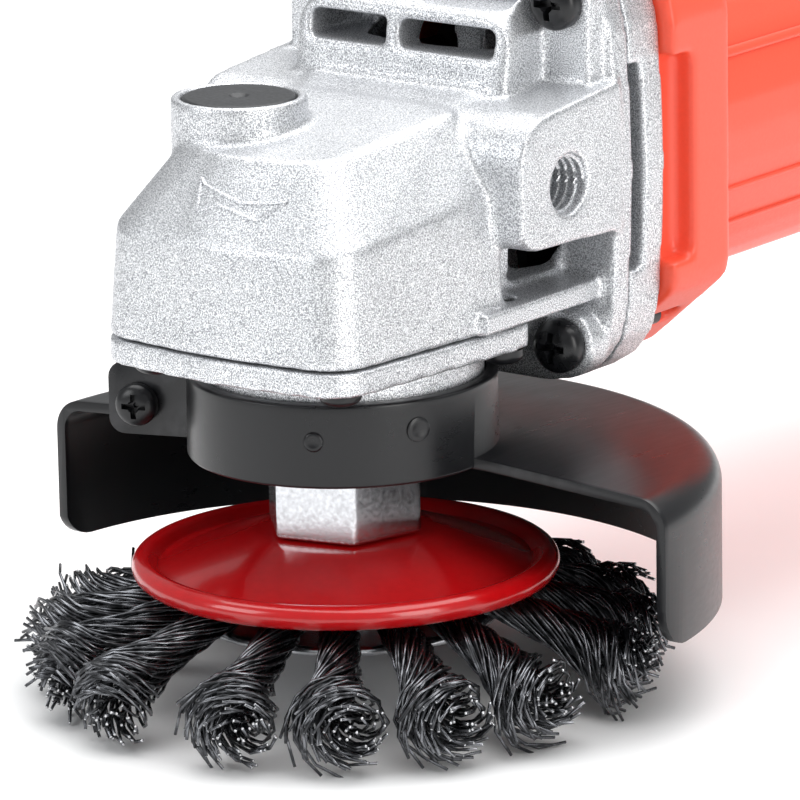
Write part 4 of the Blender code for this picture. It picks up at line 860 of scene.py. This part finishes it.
class GRINDER_OT_knots(Operator):
    """Twisted wire knots with splayed, cut tips"""
    bl_idname = "grinder.knots"
    bl_label = "Wire knots"

    def execute(self, context):
        sizes = context.scene.grinder_brush
        dice = random.Random(7)
        nodes = sorted(name for name in frame["nodes"] if name.startswith("wire_knot_"))
        for node in nodes:
            centre = middle(node)
            turn = math.atan2(centre.y, centre.x)
            mesh = knot_mesh(node, turn, sizes, dice)
            add_piece(f"{node}_wires", mesh, "spindle", "dark_wire", node)
        return {"FINISHED"}


class GRINDER_OT_hub(Operator):
    """Lacquered upper hub disc, plated lower disc and the hexagon nut of the brush"""
    bl_idname = "grinder.hub"
    bl_label = "Brush hub"

    def execute(self, context):
        low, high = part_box("hub_disc_upper")
        edge = reach("hub_disc_upper")
        bore = 9.3 * MM
        groove = edge - 4.6 * MM
        top = high.z
        slope = 5.0 / 14.0
        flat_r = 14.0 * MM
        groove_z = top - (groove - flat_r) * slope
        lip = (edge - 2.0 * MM, groove_z - 0.3 * MM)
        profile = [(bore, top), (flat_r - 0.8 * MM, top), (flat_r + 0.8 * MM, top - 0.25 * MM)]
        profile += [(groove - 0.8 * MM, groove_z + 0.3 * MM), (groove + 0.4 * MM, groove_z)]
        profile += arc(lip, 1.9 * MM, 140, -80, 14)
        under = top - 1.5 * MM
        profile += [(groove + 0.4 * MM, groove_z - 1.5 * MM), (flat_r, under), (bore, under)]
        upper = turned("hub_disc", profile, 160, smooth_deg=60)
        add_piece("hub_disc_lacquered", painted(upper, finish_of("red_lacquer")), "spindle", "red_lacquer",
                  "hub_disc_upper")

        low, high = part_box("hub_disc_lower")
        rim = reach("hub_disc_lower")
        profile = [(bore, low.z), (rim - 1.2 * MM, low.z)]
        profile += arc((rim - 0.7 * MM, (low.z + high.z) / 2), 0.7 * MM, -90, 90, 8)
        profile += [(rim - 1.2 * MM, high.z), (bore, high.z)]
        lower = turned("hub_disc_under", profile, 96, smooth_deg=50)
        add_piece("hub_disc_under_plated", painted(lower, finish_of("bright_steel")), "spindle",
                  "bright_steel", "hub_disc_lower")

        mesh = softened("hub_nut", 0.28 * MM, 12)
        add_piece("hub_nut_turned", painted(mesh, finish_of("bright_steel")), "spindle", "bright_steel",
                  "hub_nut")
        return {"FINISHED"}


# ---------------------------------------------------------------- screws and controls

def cross_screw(radius, height, shank_r, length):
    """A pan-head screw with a cross recess, its head standing on z = 0 and its shank below."""
    steps = 10
    dome = []
    for step in range(steps + 1):
        angle = math.pi / 2 * step / steps
        dome.append((radius * (0.22 + 0.78 * math.cos(angle)), height * (0.35 + 0.65 * math.sin(angle))))
    sections = [(shank_r, -length), (shank_r, 0.0), (radius, 0.0), (radius, height * 0.30)] + dome
    head = solid_turned("screw", sections, 40, 45)
    arm = radius * 0.58
    web = radius * 0.13
    floor = height * 0.35
    cuts = [block((-arm, -web, floor), (arm, web, height * 1.5)),
            block((-web, -arm, floor), (web, arm, height * 1.5))]
    cone = solid_turned("cone", [(web * 0.8, floor - height * 0.15), (radius * 0.32, height * 1.1)], 16)
    return carved(head, cuts + [cone])


class GRINDER_OT_screws(Operator):
    """Cross-head screws of the head, cover, guard and tail"""
    bl_idname = "grinder.screws"
    bl_label = "Screws"

    def execute(self, context):
        black = finish_of("black_enamel")
        down = Matrix.Rotation(math.pi, 4, "X")
        forward = Matrix.Rotation(math.pi / 2, 4, "X")
        for node in sorted(frame["nodes"]):
            if "screw" not in node or node == "guard_clamp_screw":
                continue
            low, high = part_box(node)
            centre = (low + high) / 2
            if node.startswith("head_screw"):
                radius = (high.x - low.x) / 2
                mesh = cross_screw(radius, 3.2 * MM, 1.7 * MM, 24 * MM)
                seat = Matrix.Translation((centre.x, low.y + 3.2 * MM, centre.z)) @ forward
            elif node.startswith("cover_screw"):
                radius = (high.x - low.x) / 2
                mesh = cross_screw(radius, 2.4 * MM, 1.6 * MM, 7 * MM)
                seat = Matrix.Translation((centre.x, centre.y, low.z + 2.4 * MM)) @ down
            else:
                radius = (high.x - low.x) / 2
                mesh = cross_screw(radius, 1.8 * MM, 1.7 * MM, 6 * MM)
                seat = Matrix.Translation((centre.x, centre.y, high.z - 1.8 * MM))
            add_piece(f"{node}_detailed", painted(moved(mesh, seat), black), "housing", "black_enamel", node)
        low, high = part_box("guard_clamp_screw")
        ear = EAR_TURN
        centre = middle("guard_clamp_screw")
        mesh = cross_screw(3.3 * MM, 2.4 * MM, 2.0 * MM, 12.2 * MM)
        seat = (Matrix.Rotation(ear, 4, "Z") @ Matrix.Translation((31.5 * MM, 3.8 * MM, centre.z))
                @ Matrix.Rotation(-math.pi / 2, 4, "X"))
        add_piece("guard_clamp_screw_detailed", painted(moved(mesh, seat), black), "guard", "black_enamel",
                  "guard_clamp_screw")
        return {"FINISHED"}


class GRINDER_OT_controls(Operator):
    """Lock button, switch slider and cord gland"""
    bl_idname = "grinder.controls"
    bl_label = "Controls"

    def execute(self, context):
        black = finish_of("black_plastic")
        low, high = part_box("lock_button")
        centre = (low + high) / 2
        radius = (high.x - low.x) / 2
        top = high.z
        sections = [(radius, top - 3.1 * MM), (radius, top - 0.5 * MM)]
        sections += [(radius - 0.5 * MM + r, top - 0.5 * MM + z) for r, z in arc((0, 0), 0.5 * MM, 20, 90, 5)]
        sections += [(1.7 * MM, top), (1.5 * MM, top - 0.05 * MM), (1.2 * MM, top - 0.35 * MM),
                     (0.5 * MM, top - 0.5 * MM)]
        disc = solid_turned("button", sections, 72, 40)
        disc.transform(Matrix.Translation((centre.x, centre.y, 0)))
        pin_at = Vector((centre.x, centre.y)).normalized() * 12.0 * MM
        pin_r = 2.0 * MM
        pin = solid_turned("pin", [(1.5 * MM, low.z), (pin_r, low.z + 0.5 * MM), (pin_r, top - 3.0 * MM)], 24)
        pin.transform(Matrix.Translation((pin_at.x, pin_at.y, 0)))
        mesh = carved(disc, [pin], "UNION")
        add_piece("lock_button_disc", painted(mesh, black), "lock_button", "black_plastic", "lock_button")

        mesh = softened("switch_slider", 0.3 * MM, 4)
        add_piece("switch_slider_pad", painted(mesh, black), "switch_slider", "black_plastic",
                  "switch_slider")
        mesh = softened("cord_gland", 0.35 * MM, 3)
        add_piece("cord_gland_moulding", painted(mesh, black), "housing", "black_plastic", "cord_gland")
        return {"FINISHED"}


class GRINDER_OT_internals(Operator):
    """Finishes of the CAD pieces that show as they are"""
    bl_idname = "grinder.internals"
    bl_label = "Internals"

    def execute(self, context):
        slots = {entry["node"]: entry["material_slot"] for entry in frame["record"]["subparts"]}
        for name, piece in frame["nodes"].items():
            finish = finish_of(slots[name])
            if not piece.data.materials:
                piece.data.materials.append(finish)
            for index in range(len(piece.data.materials)):
                piece.data.materials[index] = finish
        return {"FINISHED"}


# ---------------------------------------------------------------- stage

def add_light(name, at, aim, size, power, colour):
    data = bpy.data.lights.new(name, "AREA")
    data.shape = "RECTANGLE"
    data.size = size[0]
    data.size_y = size[1]
    data.energy = power
    data.color = colour
    made = bpy.data.objects.new(name, data)
    bpy.context.scene.collection.objects.link(made)
    made.location = at
    made.rotation_euler = (Vector(at) - Vector(aim)).to_track_quat("Z", "Y").to_euler()
    return made


class GRINDER_OT_stage(Operator):
    """Pale floor, soft lights and the camera"""
    bl_idname = "grinder.stage"
    bl_label = "Stage"

    def execute(self, context):
        scene = context.scene
        view = scene.grinder_stage
        floor_z = CAD_BOX[0][2] - 0.4 * MM
        mesh = mesh_from("floor", [(-6, -6, floor_z), (6, -6, floor_z), (6, 6, floor_z), (-6, 6, floor_z)],
                         [(0, 1, 2, 3)])
        floor = bpy.data.objects.new("floor", mesh)
        scene.collection.objects.link(floor)
        made, tree, shader = start_material("pale_floor")
        grain = place_group(tree, "Grain", Dark=(0.90, 0.90, 0.90), Light=(0.94, 0.94, 0.94), Grains=40.0,
                            Contrast=0.5, Low_Roughness=0.55, High_Roughness=0.6)
        tree.links.new(grain.outputs["Colour"], shader.inputs["Base Color"])
        tree.links.new(grain.outputs["Roughness"], shader.inputs["Roughness"])
        painted(mesh, made)

        world = scene.world or bpy.data.worlds.new("studio")
        scene.world = world
        world.use_nodes = True
        sky = world.node_tree.nodes["Background"]
        sky.inputs["Color"].default_value = (0.97, 0.985, 1.0, 1.0)
        sky.inputs["Strength"].default_value = 0.40
        scene.view_settings.view_transform = "Standard"

        aim = (0.0, 0.0, 0.03)
        add_light("key", (-0.45, -0.95, 0.55), aim, (0.55, 0.55), 4.0, (0.97, 0.985, 1.0))
        add_light("right", (1.05, -0.25, 0.35), aim, (0.45, 0.7), 4.5, (1.0, 0.99, 0.97))
        add_light("top", (0.0, 0.45, 1.5), (0.0, 0.3, 0.0), (2.2, 2.2), 46.0, (1.0, 1.0, 1.0))

        across = Vector((math.cos(view.azimuth), math.sin(view.azimuth), 0.0))
        away = Vector((-math.sin(view.azimuth) * math.cos(view.elevation),
                       math.cos(view.azimuth) * math.cos(view.elevation), -math.sin(view.elevation)))
        up = across.cross(away)
        right = across * math.cos(view.roll) + up * math.sin(view.roll)
        up = up * math.cos(view.roll) - across * math.sin(view.roll)
        band_foot = Vector((0.0, 0.0, BAND_TOP - 11.2 * MM))
        target = band_foot + right * view.aim_right + up * view.aim_up
        data = bpy.data.cameras.new("camera")
        data.lens = view.lens
        data.sensor_width = 36.0
        data.clip_start = 0.01
        camera = bpy.data.objects.new("camera", data)
        scene.collection.objects.link(camera)
        axes = Matrix((right, up, -away)).transposed().to_4x4()
        camera.matrix_world = Matrix.Translation(target - away * view.distance) @ axes
        scene.camera = camera
        return {"FINISHED"}


# ---------------------------------------------------------------- panel and registration

PIECES = (GRINDER_OT_castings, GRINDER_OT_mouldings, GRINDER_OT_guard, GRINDER_OT_knots, GRINDER_OT_hub,
          GRINDER_OT_screws, GRINDER_OT_controls, GRINDER_OT_internals, GRINDER_OT_stage)
SETTINGS = {"grinder_castings": GrinderCastings, "grinder_mouldings": GrinderMouldings,
            "grinder_brush": GrinderBrush, "grinder_guard": GrinderGuard, "grinder_stage": GrinderStage}


class GRINDER_PT_panel(Panel):
    bl_idname = "GRINDER_PT_panel"
    bl_label = "Angle grinder"
    bl_space_type = "VIEW_3D"
    bl_region_type = "UI"
    bl_category = "Grinder"

    def draw(self, context):
        layout = self.layout
        for key in SETTINGS:
            group = getattr(context.scene, key)
            box = layout.box()
            for prop in group.bl_rna.properties:
                if prop.identifier not in ("rna_type", "name"):
                    box.prop(group, prop.identifier)
        for piece in PIECES:
            layout.operator(piece.bl_idname)


def register():
    for settings in SETTINGS.values():
        bpy.utils.register_class(settings)
    for key, settings in SETTINGS.items():
        setattr(bpy.types.Scene, key, PointerProperty(type=settings))
    for piece in PIECES:
        bpy.utils.register_class(piece)
    bpy.utils.register_class(GRINDER_PT_panel)


def unregister():
    bpy.utils.unregister_class(GRINDER_PT_panel)
    for piece in reversed(PIECES):
        bpy.utils.unregister_class(piece)
    for key in SETTINGS:
        delattr(bpy.types.Scene, key)
    for settings in SETTINGS.values():
        bpy.utils.unregister_class(settings)


def main():
    register()
    for piece in PIECES:
        group, action = piece.bl_idname.split(".")
        getattr(getattr(bpy.ops, group), action)()


if __name__ == "__main__":
    main()
